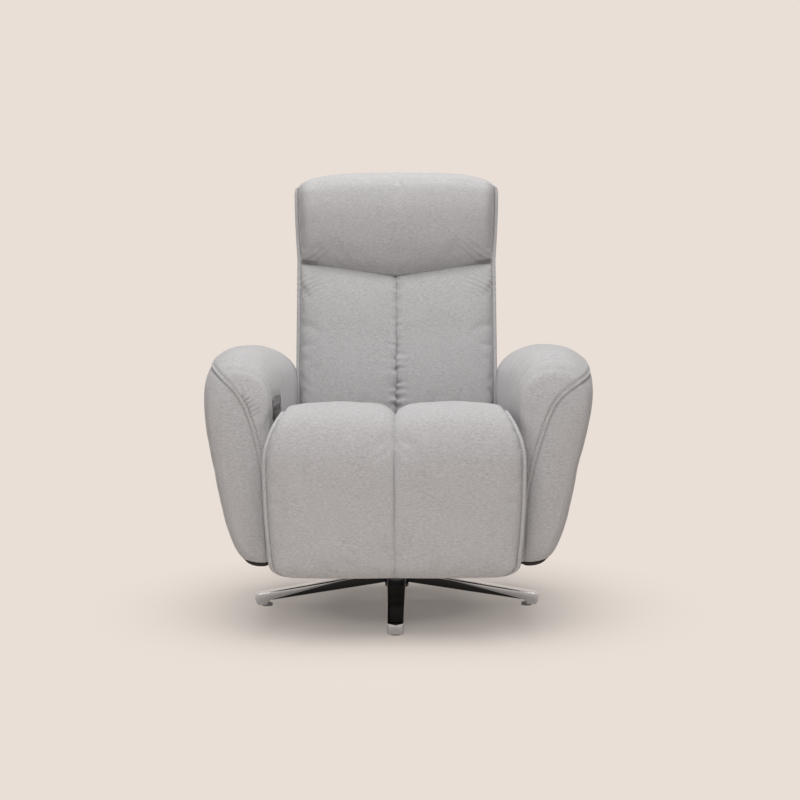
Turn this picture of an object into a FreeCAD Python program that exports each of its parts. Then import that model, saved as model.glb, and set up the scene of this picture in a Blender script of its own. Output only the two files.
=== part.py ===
import FreeCAD, Part
import math
import os

from FreeCAD import Placement, Rotation, Vector

# Power recliner on a four-legged swivel base, in millimetres. The floor is z = 0, the swivel axis
# is the Z axis and the chair faces -Y, so +X is at the right of someone who looks at its front.

# Clearances
RUNNING = 0.05           # radial, for a pin or rod that turns or slides in its hole
SOFT_GAP = 0.4           # between a soft piece and what it may rub on
BALL_GAP = 0.1           # between a ball and its groove

# Star base, cast in aluminium
LEG_COUNT = 4
LEG_REACH = 320.0        # swivel axis to the tip of a leg
LEG_TIP_WIDTH = 32.0
LEG_ROOT_WIDTH = 41.0
LEG_TIP_TOP = 28.0
LEG_ROOT_TOP = 84.0
LEG_TIP_DEPTH = 14.0
LEG_ROOT_DEPTH = 30.0
FOOT_LENGTH = 32.0       # flat under the foot, along the leg
FOOT_UNDERCUT = 8.0      # how far the end face leans in towards the glide
FOOT_FILLET = 16.0       # run of the hollow curve from foot to leg
GLIDE_RADIUS = 11.75
GLIDE_HEIGHT = 6.0
HUB_RADIUS = 28.0
HUB_BOTTOM = 44.0
HUB_TOP = 88.0
WEB_WIDTH = 26.0         # black web under each leg
WEB_TIP_DEPTH = 3.0

# Swivel bearing
SPINDLE_RADIUS = 15.0
SPINDLE_BOLT_RADIUS = 5.0
SPINDLE_BOLT_DEPTH = 26.0
BOLT_HEAD_HEIGHT = 5.0
RACE_RADIUS = 70.0
RACE_THICKNESS = 9.0
RACE_GAP = 3.0
BALL_RADIUS = 4.0
BALL_CIRCLE = 55.0
BALL_COUNT = 16
CAGE_WIDTH = 18.0
CAGE_THICKNESS = 1.8
SWIVEL_PLATE_X = 270.0
SWIVEL_PLATE_Y = 220.0
SWIVEL_PLATE_THICKNESS = 5.0
SWIVEL_BOLT_CIRCLE = 35.0
SWIVEL_BOLT_COUNT = 4
SWIVEL_BOLT_RADIUS = 4.0
SWIVEL_BOLT_DEPTH = 6.0
LOCK_NUT_RADIUS = 23.0
LOCK_NUT_HEIGHT = 7.0
LOCK_NUT_GAP = 0.3

# Mechanism frame
TUBE_WALL = 2.5
SIDE_RAIL_X = 115.0      # centre of each rail
SIDE_RAIL_WIDTH = 30.0
SIDE_RAIL_HEIGHT = 35.0
SIDE_RAIL_FRONT = -215.0
CROSS_TUBE = 30.0        # square section
FRONT_TUBE_Y = -200.0    # front face of the front cross tube
REAR_TUBE_Y = 200.0      # front face of the rear cross tube
TUBE_END_CAP = 5.0
SIDE_PLATE_X = 222.0     # inner face
PLATE = 4.0              # thickness of the mechanism's steel plates
SEAT_RAIL_WIDTH = 25.0
SEAT_RAIL_HEIGHT = 49.0
SEAT_RAIL_TOP = 349.0
REAR_SEAT_RAIL_Y = 30.0
REAR_SEAT_RAIL_DEPTH = 24.0
SEAT_RAIL_REAR = 100.0
FRONT_BOARD_THICKNESS = 24.0    # board across the seat front, inside the roll of the pad
FRONT_BOARD_HEIGHT = 80.0
FRONT_BOARD_SPACING = 27.6   # behind the leg-rest board
FRONT_BOARD_DROP = 14.0  # from the inside of the roll to the board's top edge
WEBBING_WIDTH = 55.0
WEBBING_THICKNESS = 2.0
SEAT_STRAP_COUNT = 5
BACK_STRAP_COUNT = 6
REAR_PANEL_FRONT = 285.0
REAR_PANEL_THICKNESS = 15.0
REAR_PANEL_BOTTOM = 140.0
REAR_PANEL_TOP = 385.0
POWER_BOX = (120.0, 48.0, 40.0)
GLAND_RADIUS = 6.0
GLAND_NUT_RADIUS = 10.0
GLAND_NUT_HEIGHT = 5.0
GLAND_LENGTH = 16.0
GLAND_X = 150.0
GLAND_Z = 190.0

# Seat and leg-rest pads: one roll over the front edge
ROLL_Y = -305.0          # centre of the roll
ROLL_Z = 371.0
ROLL_RADIUS = 115.0
PAD_THICKNESS = 47.0     # of the leg-rest pad and of the roll
SEAT_REAR_Y = 105.0
SEAT_HALF_WIDTH = 232.0  # between the arms
LEG_PAD_HALF_WIDTH = 262.0
LEG_PAD_END_HALF_WIDTH = 238.0
LEG_PAD_BOTTOM = 138.0
LEG_PAD_END_RADIUS = 30.0
SEAM_DEPTH = 11.0
SEAM_HALF_WIDTH = 9.0
SIDE_DRAW = 6.0          # how far a pad's side pulls in at its back edge
SEAT_TUCK_DROP = 18.0    # drop of the seat's face past which its sides draw in too
SHOULDER = 30.0          # rounding from a pad's face to its side
CROWN = 5.0              # rise of a pad's face between shoulder and middle
SPLIT_ANGLE = 45.0       # where the roll divides into seat and leg rest
SPLIT_GAP_ANGLE = 0.35
NOTCH_HALF_ANGLE = 44.0
NOTCH_START = 1.5        # how far the notch begins inside the hinge line

# Leg-rest hinge and frame
HINGE_DEPTH = 12.0       # hinge line below the roll's face
LEGREST_TRAVEL = 85.0    # degrees
EAR_RADIUS = 8.5
EAR_GAP = 1.3            # room for the ears inside the pads
LEGREST_PIN_RADIUS = 4.0
LEGREST_BRACKET_X = 200.0
LEGREST_PLATE_GAP = 1.0
LEGREST_BOARD_THICKNESS = 15.0
LEGREST_BOARD_BOTTOM = 150.0
LEGREST_BOARD_HALF_WIDTH = 222.0
LEGREST_ARM_WIDTH = 16.0

# Back
BACK_LEAN = 16.0         # degrees from upright
BACK_FACE_Y = 120.0      # a point of the back's face, at seat level
BACK_FACE_Z = 470.0
BACK_HINGE_Y = 190.0
BACK_HINGE_Z = 405.0
BACK_TRAVEL = 45.0       # degrees
BACK_PAD_DEPTH = 70.7
BACK_TUBE = 25.0
BACK_TUBE_WALL = 2.0
BACK_STILE_X = 217.0     # outer face of each stile
BACK_FRAME_BOTTOM = -75.0    # along the back, from seat level
BACK_FRAME_TOP = 520.0
BACK_SEAM = 298.0        # neck seam at the middle, along the back
BACK_SEAM_RISE = 0.118   # rise of the neck seam towards each side
BACK_TOP = 573.0
BACK_TOP_FALL = -0.128
BACK_LOW_HALF_WIDTH = 232.5
BACK_NECK_HALF_WIDTH = 229.0
BACK_TOP_HALF_WIDTH = 246.0
PANEL_BOTTOM = -110.0
NOTCH_TOP = -15.0        # the back is narrower below this, to pass inside the side plates
BACK_EAR_RADIUS = 14.0
BACK_PIN_RADIUS = 6.0
BACK_PIN_HEAD_RADIUS = 10.0
WASHER_RADIUS = 11.0
WASHER_GAP = 0.2
PANEL_EDGE_RADIUS = 36.0     # rounding of the outer back's rear edges

# Linear actuators: tail pivot and crank pin, in the plane of Y and Z
LEG_MOTOR_X = -60.0
LEG_MOTOR_Y = 60.0
LEG_MOTOR_Z = 215.0
LEG_CRANK = (55.0, -150.0)   # crank pin, from the leg-rest hinge
BACK_MOTOR_X = 60.0
BACK_MOTOR_Y = -150.0
BACK_MOTOR_Z = 200.0
BACK_CRANK = (0.0, -150.0)   # crank pin, from the back hinge
ROD_RADIUS = 10.0
ROD_OVERLAP = 40.0       # of rod still in its tube at full stroke
MOTOR_TUBE_RADIUS = 15.0
GEARBOX_START = 20.0     # from the tail pivot
GEARBOX_END = 80.0
GEARBOX_HALF_WIDTH = 25.0
GEARBOX_HALF_HEIGHT = 22.0
MOTOR_CAN_RADIUS = 21.0
MOTOR_CAN_LENGTH = 70.0
EYE_RADIUS = 12.0
TAIL_EYE_WIDTH = 20.0
ACTUATOR_PIN_RADIUS = 5.0
BRACKET_GAP = 0.5
BRACKET_DEPTH = 30.0
BRACKET_BASE = 6.0
CRANK_GAP = 1.0

# Arms: half a shell's section, then how it changes from front to rear
ARM_BOARD_X = 276.0      # inner face of the board inside each arm
ARM_BOARD_THICKNESS = 18.0
ARM_BOARD_Y = (-262.0, 250.0)
ARM_BOARD_Z = (165.0, 500.0)
ARM_INNER = 237.0
ARM_OUTER = 412.0
ARM_TOP = 596.0
ARM_BOTTOM = 131.0
ARM_FRONT = -345.0
ARM_REAR = 300.0
ARM_FLARE = 17.0         # how far the inner face spreads at the front
ARM_BOLT_RADIUS = 4.0
ARM_BOLT_HEAD_RADIUS = 7.0
POCKET_GAP = 1.0

# Sections of the soft forms. Each pad station is its share of the pad's length and how far its
# face drops or rises there; each station of the outer back gives the depth of its rear face.
SEAT_STATIONS = ((0.0, 38.0), (0.03, 25.0), (0.1, 18.0), (0.3, 14.0), (0.55, 10.0), (0.8, 3.5), (0.94, 0.5))
LUMBAR_STATIONS = ((0.0, 14.0), (0.08, 4.0), (0.2, 0.0), (0.6, 0.0), (0.82, 4.0), (0.94, 14.0), (1.0, 28.0))
HEAD_STATIONS = ((0.0, -28.0), (0.06, -8.0), (0.17, 8.0), (0.4, 22.0), (0.65, 29.0), (0.82, 23.0),
                 (0.93, 2.0), (1.0, -36.0))
PANEL_STATIONS = ((0.0, 122.0), (0.1, 130.0), (0.3, 142.0), (0.5, 151.0), (0.7, 159.0), (0.86, 164.0),
                  (0.94, 159.0), (0.98, 144.0), (1.0, 122.0))

# Each arm station is its share of the way to the front (below 0) or to the rear, then how far the
# outer face, the top, the bottom and the inner face draw in
ARM_STATIONS = (
    (-1.0, 44.0, 92.0, 40.0, 12.0),
    (-0.983, 30.0, 64.0, 24.0, 4.0),
    (-0.945, 20.0, 42.0, 13.0, 1.0),
    (-0.87, 14.0, 22.0, 5.0, 0.0),
    (-0.74, 9.0, 7.0, 1.0, 0.0),
    (-0.55, 4.0, 0.0, 0.0, 0.0),
    (-0.23, 0.0, 0.0, 0.0, 0.0),
    (0.2, 0.0, 6.0, 1.0, 0.0),
    (0.6, 6.0, 17.0, 4.0, 0.0),
    (0.83, 14.0, 30.0, 9.0, 0.0),
    (0.95, 26.0, 50.0, 20.0, 2.0),
    (1.0, 42.0, 78.0, 40.0, 10.0),
)

# Control plate in the inner face of the arm at -X
PLATE_END = 18.0         # from an outer button to the plate's end
PLATE_HEIGHT = 44.0
PLATE_PROUD = 3.0
PLATE_SUNK = 2.0
PLATE_CORNER = 8.0
PLATE_Y = -250.0
PLATE_Z = 474.0
BUTTON_COUNT = 4
BUTTON_RADIUS = 7.0
BUTTON_PITCH = 20.0
BUTTON_PROUD = 2.0
BUTTON_TRAVEL = 1.5
BUTTON_FLANGE_RADIUS = 8.5
BUTTON_FLANGE = 2.5
BUTTON_GAP = 0.3
SWITCH_BOX_DEPTH = 18.0
SWITCH_BOX_INSET = 6.0
SWITCH_BOX_WALL = 2.0
PLATE_LENGTH = BUTTON_PITCH * (BUTTON_COUNT - 1) + 2 * PLATE_END

LEAN = math.radians(BACK_LEAN)
RACE_TOP = HUB_TOP + RACE_THICKNESS
BALL_Z = RACE_TOP + RACE_GAP / 2
SWIVEL_PLATE_BOTTOM = RACE_TOP + RACE_GAP + RACE_THICKNESS
SWIVEL_PLATE_TOP = SWIVEL_PLATE_BOTTOM + SWIVEL_PLATE_THICKNESS
RAIL_TOP = SWIVEL_PLATE_TOP + SIDE_RAIL_HEIGHT
TUBE_TOP = RAIL_TOP + CROSS_TUBE
CUSHION_BOTTOM = SEAT_RAIL_TOP + WEBBING_THICKNESS + SOFT_GAP
PAD_INNER = ROLL_RADIUS - PAD_THICKNESS
LEGREST_BOARD_FRONT = ROLL_Y - PAD_INNER + SOFT_GAP
LEGREST_BOARD_REAR = LEGREST_BOARD_FRONT + LEGREST_BOARD_THICKNESS
LEGREST_BOARD_TOP = ROLL_Z
FRONT_BOARD_Y = LEGREST_BOARD_REAR + FRONT_BOARD_SPACING
FRONT_BOARD_REAR = FRONT_BOARD_Y + FRONT_BOARD_THICKNESS
FRONT_BOARD_TOP = ROLL_Z + PAD_INNER - FRONT_BOARD_DROP
FRONT_BOARD_BOTTOM = FRONT_BOARD_TOP - FRONT_BOARD_HEIGHT
HINGE_RADIUS = ROLL_RADIUS - HINGE_DEPTH
HINGE_Y = ROLL_Y - HINGE_RADIUS * math.cos(math.radians(SPLIT_ANGLE))
HINGE_Z = ROLL_Z + HINGE_RADIUS * math.sin(math.radians(SPLIT_ANGLE))


def box(x0, x1, y0, y1, z0, z1):
    """Block between two corners."""
    return Part.makeBox(x1 - x0, y1 - y0, z1 - z0, Vector(x0, y0, z0))


def cylinder(radius, length, start, axis):
    """Round bar of a length from its start along an axis."""
    return Part.makeCylinder(radius, length, start, axis)


def bar_x(radius, x0, x1, y, z):
    """Round bar along X."""
    return cylinder(radius, x1 - x0, Vector(x0, y, z), Vector(1, 0, 0))


def profile_yz(points, x0, x1):
    """Plate along X whose outline is a closed polygon in Y and Z."""
    corners = [Vector(x0, y, z) for y, z in points]
    outline = Part.makePolygon(corners + corners[:1])
    return Part.Face(outline).extrude(Vector(x1 - x0, 0, 0))


def square_tube(x0, x1, y0, y1, z0, z1, wall, along, cap=0.0):
    """Hollow square tube; along names its axis and cap closes both ends."""
    outer = box(x0, x1, y0, y1, z0, z1)
    inset = [wall, wall, wall]
    inset[along] = cap if cap else -wall
    core = box(x0 + inset[0], x1 - inset[0], y0 + inset[1], y1 - inset[1], z0 + inset[2], z1 - inset[2])
    return outer.cut(core)


def mirrored(shape):
    """The same shape on the other side of the chair's middle plane."""
    return shape.mirror(Vector(0, 0, 0), Vector(1, 0, 0))


def pair(shape):
    """A shape at +X and its mirror at -X, as two solids of one node."""
    return Part.makeCompound([shape, mirrored(shape)])


def around(shape, count, offset=0.0):
    """Copies of a shape turned round the swivel axis."""
    copies = []
    for index in range(count):
        copy = shape.copy()
        copy.rotate(Vector(0, 0, 0), Vector(0, 0, 1), offset + 360.0 * index / count)
        copies.append(copy)
    return copies


def arc(first, middle, last):
    """Edge along an arc through three points."""
    return Part.Arc(first, middle, last).toShape()


def line(first, last):
    """Straight edge."""
    return Part.makeLine(first, last)


def mix(low, high, share):
    """Value at a share of the way between two."""
    return low + (high - low) * share


def turned(offset, degrees):
    """Where an offset in Y and Z goes when a hinge about -X turns by some degrees."""
    cosine = math.cos(math.radians(degrees))
    sine = math.sin(math.radians(degrees))
    return offset[0] * cosine + offset[1] * sine, -offset[0] * sine + offset[1] * cosine


class Link:
    """Length and slope of a linear actuator at rest and at the end of its hinge's travel."""

    def __init__(self, tail, hinge, crank, travel):
        self.tail = tail
        self.pin = (hinge[0] + crank[0], hinge[1] + crank[1])
        swung = turned(crank, travel)
        end = (hinge[0] + swung[0], hinge[1] + swung[1])
        self.rest_length, self.rest_angle = self.measure(self.pin)
        self.end_length, self.end_angle = self.measure(end)

    def measure(self, pin):
        """Distance from the tail pivot to a pin, and the direction to it in degrees."""
        run = pin[0] - self.tail[0]
        rise = pin[1] - self.tail[1]
        return math.hypot(run, rise), math.degrees(math.atan2(rise, run))


LEG_LINK = Link((LEG_MOTOR_Y, LEG_MOTOR_Z), (HINGE_Y, HINGE_Z), LEG_CRANK, LEGREST_TRAVEL)
BACK_LINK = Link((BACK_MOTOR_Y, BACK_MOTOR_Z), (BACK_HINGE_Y, BACK_HINGE_Z), BACK_CRANK, BACK_TRAVEL)


def leg_underside(radius):
    """Height of a leg's underside at a distance from the swivel axis."""
    root = LEG_ROOT_TOP - LEG_ROOT_DEPTH
    tip = LEG_TIP_TOP - LEG_TIP_DEPTH
    return mix(root, tip, radius / LEG_REACH)


def base_star():
    """Hub and four tapered legs with feet, in one casting."""
    foot_outer = LEG_REACH - FOOT_UNDERCUT
    foot_inner = foot_outer - FOOT_LENGTH
    fillet_end = foot_inner - FOOT_FILLET
    rise = leg_underside(fillet_end) - GLIDE_HEIGHT
    points = [
        Vector(0, 0, LEG_ROOT_TOP - LEG_ROOT_DEPTH),
        Vector(fillet_end, 0, leg_underside(fillet_end)),
        Vector(foot_inner, 0, GLIDE_HEIGHT),
        Vector(foot_outer, 0, GLIDE_HEIGHT),
        Vector(LEG_REACH, 0, LEG_TIP_TOP - FOOT_UNDERCUT / 2),
        Vector(LEG_REACH - FOOT_UNDERCUT / 2, 0, LEG_TIP_TOP),
        Vector(0, 0, LEG_ROOT_TOP),
    ]
    hollow = Vector(foot_inner - FOOT_FILLET * 0.35, 0, GLIDE_HEIGHT + rise * 0.62)
    edges = [line(points[0], points[1]), arc(points[1], hollow, points[2])]
    for index in range(2, len(points)):
        edges.append(line(points[index], points[(index + 1) % len(points)]))
    side = Part.Face(Part.Wire(edges))
    side.translate(Vector(0, -LEG_ROOT_WIDTH, 0))
    side = side.extrude(Vector(0, 2 * LEG_ROOT_WIDTH, 0))
    tip_start = LEG_REACH - LEG_TIP_WIDTH / 4
    corners = [
        Vector(0, -LEG_ROOT_WIDTH / 2, 0),
        Vector(tip_start, -LEG_TIP_WIDTH / 2, 0),
        Vector(LEG_REACH, 0, 0),
        Vector(tip_start, LEG_TIP_WIDTH / 2, 0),
        Vector(0, LEG_ROOT_WIDTH / 2, 0),
    ]
    outline = [
        line(corners[0], corners[1]),
        arc(corners[1], corners[2], corners[3]),
        line(corners[3], corners[4]),
        line(corners[4], corners[0]),
    ]
    plan = Part.Face(Part.Wire(outline)).extrude(Vector(0, 0, HUB_TOP))
    leg = side.common(plan)
    star = cylinder(HUB_RADIUS, HUB_TOP - HUB_BOTTOM, Vector(0, 0, HUB_BOTTOM), Vector(0, 0, 1))
    for copy in around(leg, LEG_COUNT):
        star = star.fuse(copy)
    bore = cylinder(SPINDLE_RADIUS, 2 * HUB_TOP, Vector(0, 0, 0), Vector(0, 0, 1))
    return star.removeSplitter().cut(bore)


def leg_webs():
    """Black web that closes each leg from below, between hub and foot."""
    end = LEG_REACH - FOOT_UNDERCUT - FOOT_LENGTH - FOOT_FILLET
    points = [
        Vector(0, -WEB_WIDTH / 2, leg_underside(0)),
        Vector(end, -WEB_WIDTH / 2, leg_underside(end)),
        Vector(end, -WEB_WIDTH / 2, leg_underside(end) - WEB_TIP_DEPTH),
        Vector(0, -WEB_WIDTH / 2, HUB_BOTTOM),
    ]
    web = Part.Face(Part.makePolygon(points + points[:1])).extrude(Vector(0, WEB_WIDTH, 0))
    hub = cylinder(HUB_RADIUS, 2 * HUB_TOP, Vector(0, 0, 0), Vector(0, 0, 1))
    return Part.makeCompound(around(web.cut(hub), LEG_COUNT))


def foot_glides():
    """Round glide under each foot."""
    middle = LEG_REACH - FOOT_UNDERCUT - FOOT_LENGTH / 2
    glide = cylinder(GLIDE_RADIUS, GLIDE_HEIGHT, Vector(middle, 0, 0), Vector(0, 0, 1))
    return Part.makeCompound(around(glide, LEG_COUNT))


def race(bottom, bore):
    """One half of the swivel bearing, with its ball groove."""
    up = Vector(0, 0, 1)
    ring = cylinder(RACE_RADIUS, RACE_THICKNESS, Vector(0, 0, bottom), up)
    ring = ring.cut(cylinder(bore, RACE_THICKNESS, Vector(0, 0, bottom), up))
    return ring.cut(Part.makeTorus(BALL_CIRCLE, BALL_RADIUS + BALL_GAP, Vector(0, 0, BALL_Z), up))


def swivel_bolt(radius, head_radius):
    """One of the bolts that hold the swivel plate to the upper race."""
    up = Vector(0, 0, 1)
    foot = Vector(SWIVEL_BOLT_CIRCLE, 0, SWIVEL_PLATE_BOTTOM - SWIVEL_BOLT_DEPTH)
    shank = cylinder(radius, SWIVEL_BOLT_DEPTH + SWIVEL_PLATE_THICKNESS, foot, up)
    head = cylinder(head_radius, BOLT_HEAD_HEIGHT, Vector(SWIVEL_BOLT_CIRCLE, 0, SWIVEL_PLATE_TOP), up)
    return shank.fuse(head)


def swivel_bolts():
    """The ring of swivel bolts."""
    bolt = swivel_bolt(SWIVEL_BOLT_RADIUS, SWIVEL_BOLT_RADIUS * 1.7)
    return Part.makeCompound(around(bolt, SWIVEL_BOLT_COUNT, 45.0))


def add_base(nodes):
    """Star base, spindle and the fixed half of the swivel bearing."""
    up = Vector(0, 0, 1)
    nodes["base_star"] = base_star()
    nodes["leg_webs"] = leg_webs()
    nodes["foot_glides"] = foot_glides()
    nut_bottom = SWIVEL_PLATE_TOP + LOCK_NUT_GAP
    spindle_top = nut_bottom + LOCK_NUT_HEIGHT
    spindle = cylinder(SPINDLE_RADIUS, spindle_top - HUB_BOTTOM, Vector(0, 0, HUB_BOTTOM), up)
    bolt_shank = cylinder(SPINDLE_BOLT_RADIUS, SPINDLE_BOLT_DEPTH, Vector(0, 0, HUB_BOTTOM), up)
    nodes["swivel_spindle"] = spindle.cut(bolt_shank)
    head_bottom = Vector(0, 0, HUB_BOTTOM - BOLT_HEAD_HEIGHT)
    head = cylinder(SPINDLE_RADIUS + BOLT_HEAD_HEIGHT, BOLT_HEAD_HEIGHT, head_bottom, up)
    nodes["spindle_bolt"] = bolt_shank.fuse(head)
    nodes["lower_race"] = race(HUB_TOP, SPINDLE_RADIUS)
    ball = Part.makeSphere(BALL_RADIUS, Vector(BALL_CIRCLE, 0, BALL_Z))
    nodes["bearing_balls"] = Part.makeCompound(around(ball, BALL_COUNT))
    cage_bottom = Vector(0, 0, BALL_Z - CAGE_THICKNESS / 2)
    cage = cylinder(BALL_CIRCLE + CAGE_WIDTH / 2, CAGE_THICKNESS, cage_bottom, up)
    cage = cage.cut(cylinder(BALL_CIRCLE - CAGE_WIDTH / 2, CAGE_THICKNESS, cage_bottom, up))
    pocket_foot = Vector(BALL_CIRCLE, 0, cage_bottom.z)
    pocket = cylinder(BALL_RADIUS + BALL_GAP, CAGE_THICKNESS, pocket_foot, up)
    nodes["bearing_cage"] = cage.cut(Part.makeCompound(around(pocket, BALL_COUNT)))
    nut = cylinder(LOCK_NUT_RADIUS, LOCK_NUT_HEIGHT, Vector(0, 0, nut_bottom), up)
    nodes["spindle_lock_nut"] = nut.cut(spindle)


def add_swivel(nodes):
    """Turning half of the swivel bearing and the plate that carries the mechanism."""
    up = Vector(0, 0, 1)
    bolts = swivel_bolts()
    nodes["upper_race"] = race(RACE_TOP + RACE_GAP, SPINDLE_RADIUS + RUNNING).cut(bolts)
    plate = box(-SWIVEL_PLATE_X / 2, SWIVEL_PLATE_X / 2, -SWIVEL_PLATE_Y / 2, SWIVEL_PLATE_Y / 2,
                SWIVEL_PLATE_BOTTOM, SWIVEL_PLATE_TOP)
    bore = cylinder(SPINDLE_RADIUS + RUNNING, 2 * SWIVEL_PLATE_TOP, Vector(0, 0, 0), up)
    nodes["swivel_plate"] = plate.cut(bore).cut(bolts)
    nodes["swivel_bolts"] = bolts


def side_plate():
    """Steel plate at +X that carries seat rail, front board and back hinge."""
    front = FRONT_BOARD_Y
    rear = REAR_TUBE_Y + CROSS_TUBE
    ear = BACK_EAR_RADIUS
    points = [
        (FRONT_TUBE_Y, TUBE_TOP),
        (rear, TUBE_TOP),
        (rear, mix(TUBE_TOP, BACK_HINGE_Z, 0.6)),
        (BACK_HINGE_Y + ear, BACK_HINGE_Z),
        (BACK_HINGE_Y - ear, BACK_HINGE_Z),
        (SEAT_REAR_Y + ear, SEAT_RAIL_TOP),
        (front, SEAT_RAIL_TOP),
        (front, SEAT_RAIL_TOP - SEAT_RAIL_HEIGHT / 2),
    ]
    plate = profile_yz(points, SIDE_PLATE_X, SIDE_PLATE_X + PLATE)
    eye = bar_x(ear, SIDE_PLATE_X, SIDE_PLATE_X + PLATE, BACK_HINGE_Y, BACK_HINGE_Z)
    hole = bar_x(BACK_PIN_RADIUS, SIDE_PLATE_X, SIDE_PLATE_X + PLATE, BACK_HINGE_Y, BACK_HINGE_Z)
    return plate.fuse(eye).removeSplitter().cut(hole)


def arm_bolts(radius, head_radius, head):
    """Bolts that hold the arm boards to the ends of the cross tubes."""
    inner = ARM_BOARD_X - TUBE_END_CAP
    outer = ARM_BOARD_X + ARM_BOARD_THICKNESS
    bolts = []
    for front in (FRONT_TUBE_Y, REAR_TUBE_Y):
        y = front + CROSS_TUBE / 2
        z = (max(ARM_BOARD_Z[0], RAIL_TOP) + TUBE_TOP) / 2
        shank = bar_x(radius, inner, outer, y, z)
        bolt = shank.fuse(bar_x(head_radius, outer, outer + head, y, z))
        bolts += [bolt, mirrored(bolt)]
    return Part.makeCompound(bolts)


def cross_tube(front):
    """Capped square tube from arm board to arm board."""
    tube = square_tube(-ARM_BOARD_X, ARM_BOARD_X, front, front + CROSS_TUBE, RAIL_TOP, TUBE_TOP,
                       TUBE_WALL, 0, TUBE_END_CAP)
    return tube.cut(arm_bolts(ARM_BOLT_RADIUS, ARM_BOLT_HEAD_RADIUS, BOLT_HEAD_HEIGHT))


def strap(x0, x1, y0, y1, z0, z1, count, step):
    """Straps of webbing at even steps."""
    straps = []
    for index in range(count):
        band = box(x0, x1, y0, y1, z0, z1)
        band.translate(step * index)
        straps.append(band)
    return Part.makeCompound(straps)


def add_frame(nodes):
    """Rails, tubes, plates and boards of the mechanism."""
    inner = SIDE_RAIL_X - SIDE_RAIL_WIDTH / 2
    nodes["side_rails"] = pair(square_tube(
        inner, inner + SIDE_RAIL_WIDTH, SIDE_RAIL_FRONT, REAR_PANEL_FRONT,
        SWIVEL_PLATE_TOP, RAIL_TOP, TUBE_WALL, 1))
    nodes["cross_tubes"] = Part.makeCompound([cross_tube(FRONT_TUBE_Y), cross_tube(REAR_TUBE_Y)])
    plate = side_plate()
    rail_bottom = SEAT_RAIL_TOP - SEAT_RAIL_HEIGHT
    rail = box(SIDE_PLATE_X - SEAT_RAIL_WIDTH, SIDE_PLATE_X, FRONT_BOARD_REAR, SEAT_RAIL_REAR,
               rail_bottom, SEAT_RAIL_TOP)
    nodes["side_plate_right"] = plate
    nodes["side_plate_left"] = mirrored(plate)
    nodes["seat_side_rails"] = pair(rail)
    nodes["front_board"] = box(-SIDE_PLATE_X, SIDE_PLATE_X, FRONT_BOARD_Y, FRONT_BOARD_REAR,
                               FRONT_BOARD_BOTTOM, FRONT_BOARD_TOP)
    span = SIDE_PLATE_X - SEAT_RAIL_WIDTH
    nodes["rear_seat_rail"] = box(-span, span, REAR_SEAT_RAIL_Y,
                                  REAR_SEAT_RAIL_Y + REAR_SEAT_RAIL_DEPTH, rail_bottom, SEAT_RAIL_TOP)
    pitch = (SEAT_RAIL_REAR - FRONT_BOARD_REAR - WEBBING_WIDTH) / SEAT_STRAP_COUNT
    first = FRONT_BOARD_REAR + pitch / 2
    nodes["seat_webbing"] = strap(-SIDE_PLATE_X, SIDE_PLATE_X, first, first + WEBBING_WIDTH,
                                  SEAT_RAIL_TOP, SEAT_RAIL_TOP + WEBBING_THICKNESS,
                                  SEAT_STRAP_COUNT, Vector(0, pitch, 0))
    gland_face = REAR_PANEL_FRONT + REAR_PANEL_THICKNESS
    half = ARM_INNER - SOFT_GAP
    rearward = Vector(0, 1, 0)
    hole_start = Vector(GLAND_X, REAR_PANEL_FRONT, GLAND_Z)
    hole = cylinder(GLAND_RADIUS, REAR_PANEL_THICKNESS, hole_start, rearward)
    panel = box(-half, half, REAR_PANEL_FRONT, gland_face, REAR_PANEL_BOTTOM, REAR_PANEL_TOP)
    nodes["rear_panel"] = panel.cut(hole)
    gland_start = Vector(GLAND_X, gland_face - GLAND_LENGTH, GLAND_Z)
    body = cylinder(GLAND_RADIUS, GLAND_LENGTH + GLAND_NUT_HEIGHT, gland_start, rearward)
    nut = cylinder(GLAND_NUT_RADIUS, GLAND_NUT_HEIGHT, Vector(GLAND_X, gland_face, GLAND_Z), rearward)
    nodes["power_gland"] = body.fuse(nut)
    tube_rear = REAR_TUBE_Y + CROSS_TUBE
    nodes["power_box"] = box(-POWER_BOX[0] / 2, POWER_BOX[0] / 2, tube_rear, tube_rear + POWER_BOX[1],
                             RAIL_TOP, RAIL_TOP + POWER_BOX[2])


def pad_section(place, half_width, back, face, seam=SEAM_DEPTH):
    """Right half of a pad's section; place turns a distance across and a height into a point."""
    shoulder = min(SHOULDER, (face - back) * 0.6)
    inset = shoulder * 0.12
    centre_back = place(0, back)
    side_back = place(half_width - SIDE_DRAW, back)
    side_middle = place(half_width - 1, mix(back, face - shoulder, 0.6))
    side_top = place(half_width - inset, face - shoulder)
    shoulder_middle = place(half_width - shoulder * 0.42, face - shoulder * 0.36)
    crown_side = place(half_width - shoulder * 1.2, face - CROWN)
    crown_middle = place(mix(SEAM_HALF_WIDTH, half_width - shoulder * 1.2, 0.5), face)
    seam_side = place(SEAM_HALF_WIDTH, face - CROWN)
    centre_face = place(0, face - max(seam, CROWN))
    return Part.Wire([
        line(centre_back, side_back),
        arc(side_back, side_middle, side_top),
        arc(side_top, shoulder_middle, crown_side),
        arc(crown_side, crown_middle, seam_side),
        line(seam_side, centre_face),
        line(centre_face, centre_back),
    ])


def both_halves(sections):
    """Ruled loft through half sections, joined to its mirror."""
    half = Part.makeLoft(sections, True, True)
    return half.fuse(mirrored(half)).removeSplitter()


def roll_place(angle):
    """Places a section on the ray from the roll's centre at an angle above the front."""
    cosine = math.cos(math.radians(angle))
    sine = math.sin(math.radians(angle))

    def place(across, height):
        return Vector(across, ROLL_Y - height * cosine, ROLL_Z + height * sine)

    return place


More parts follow.
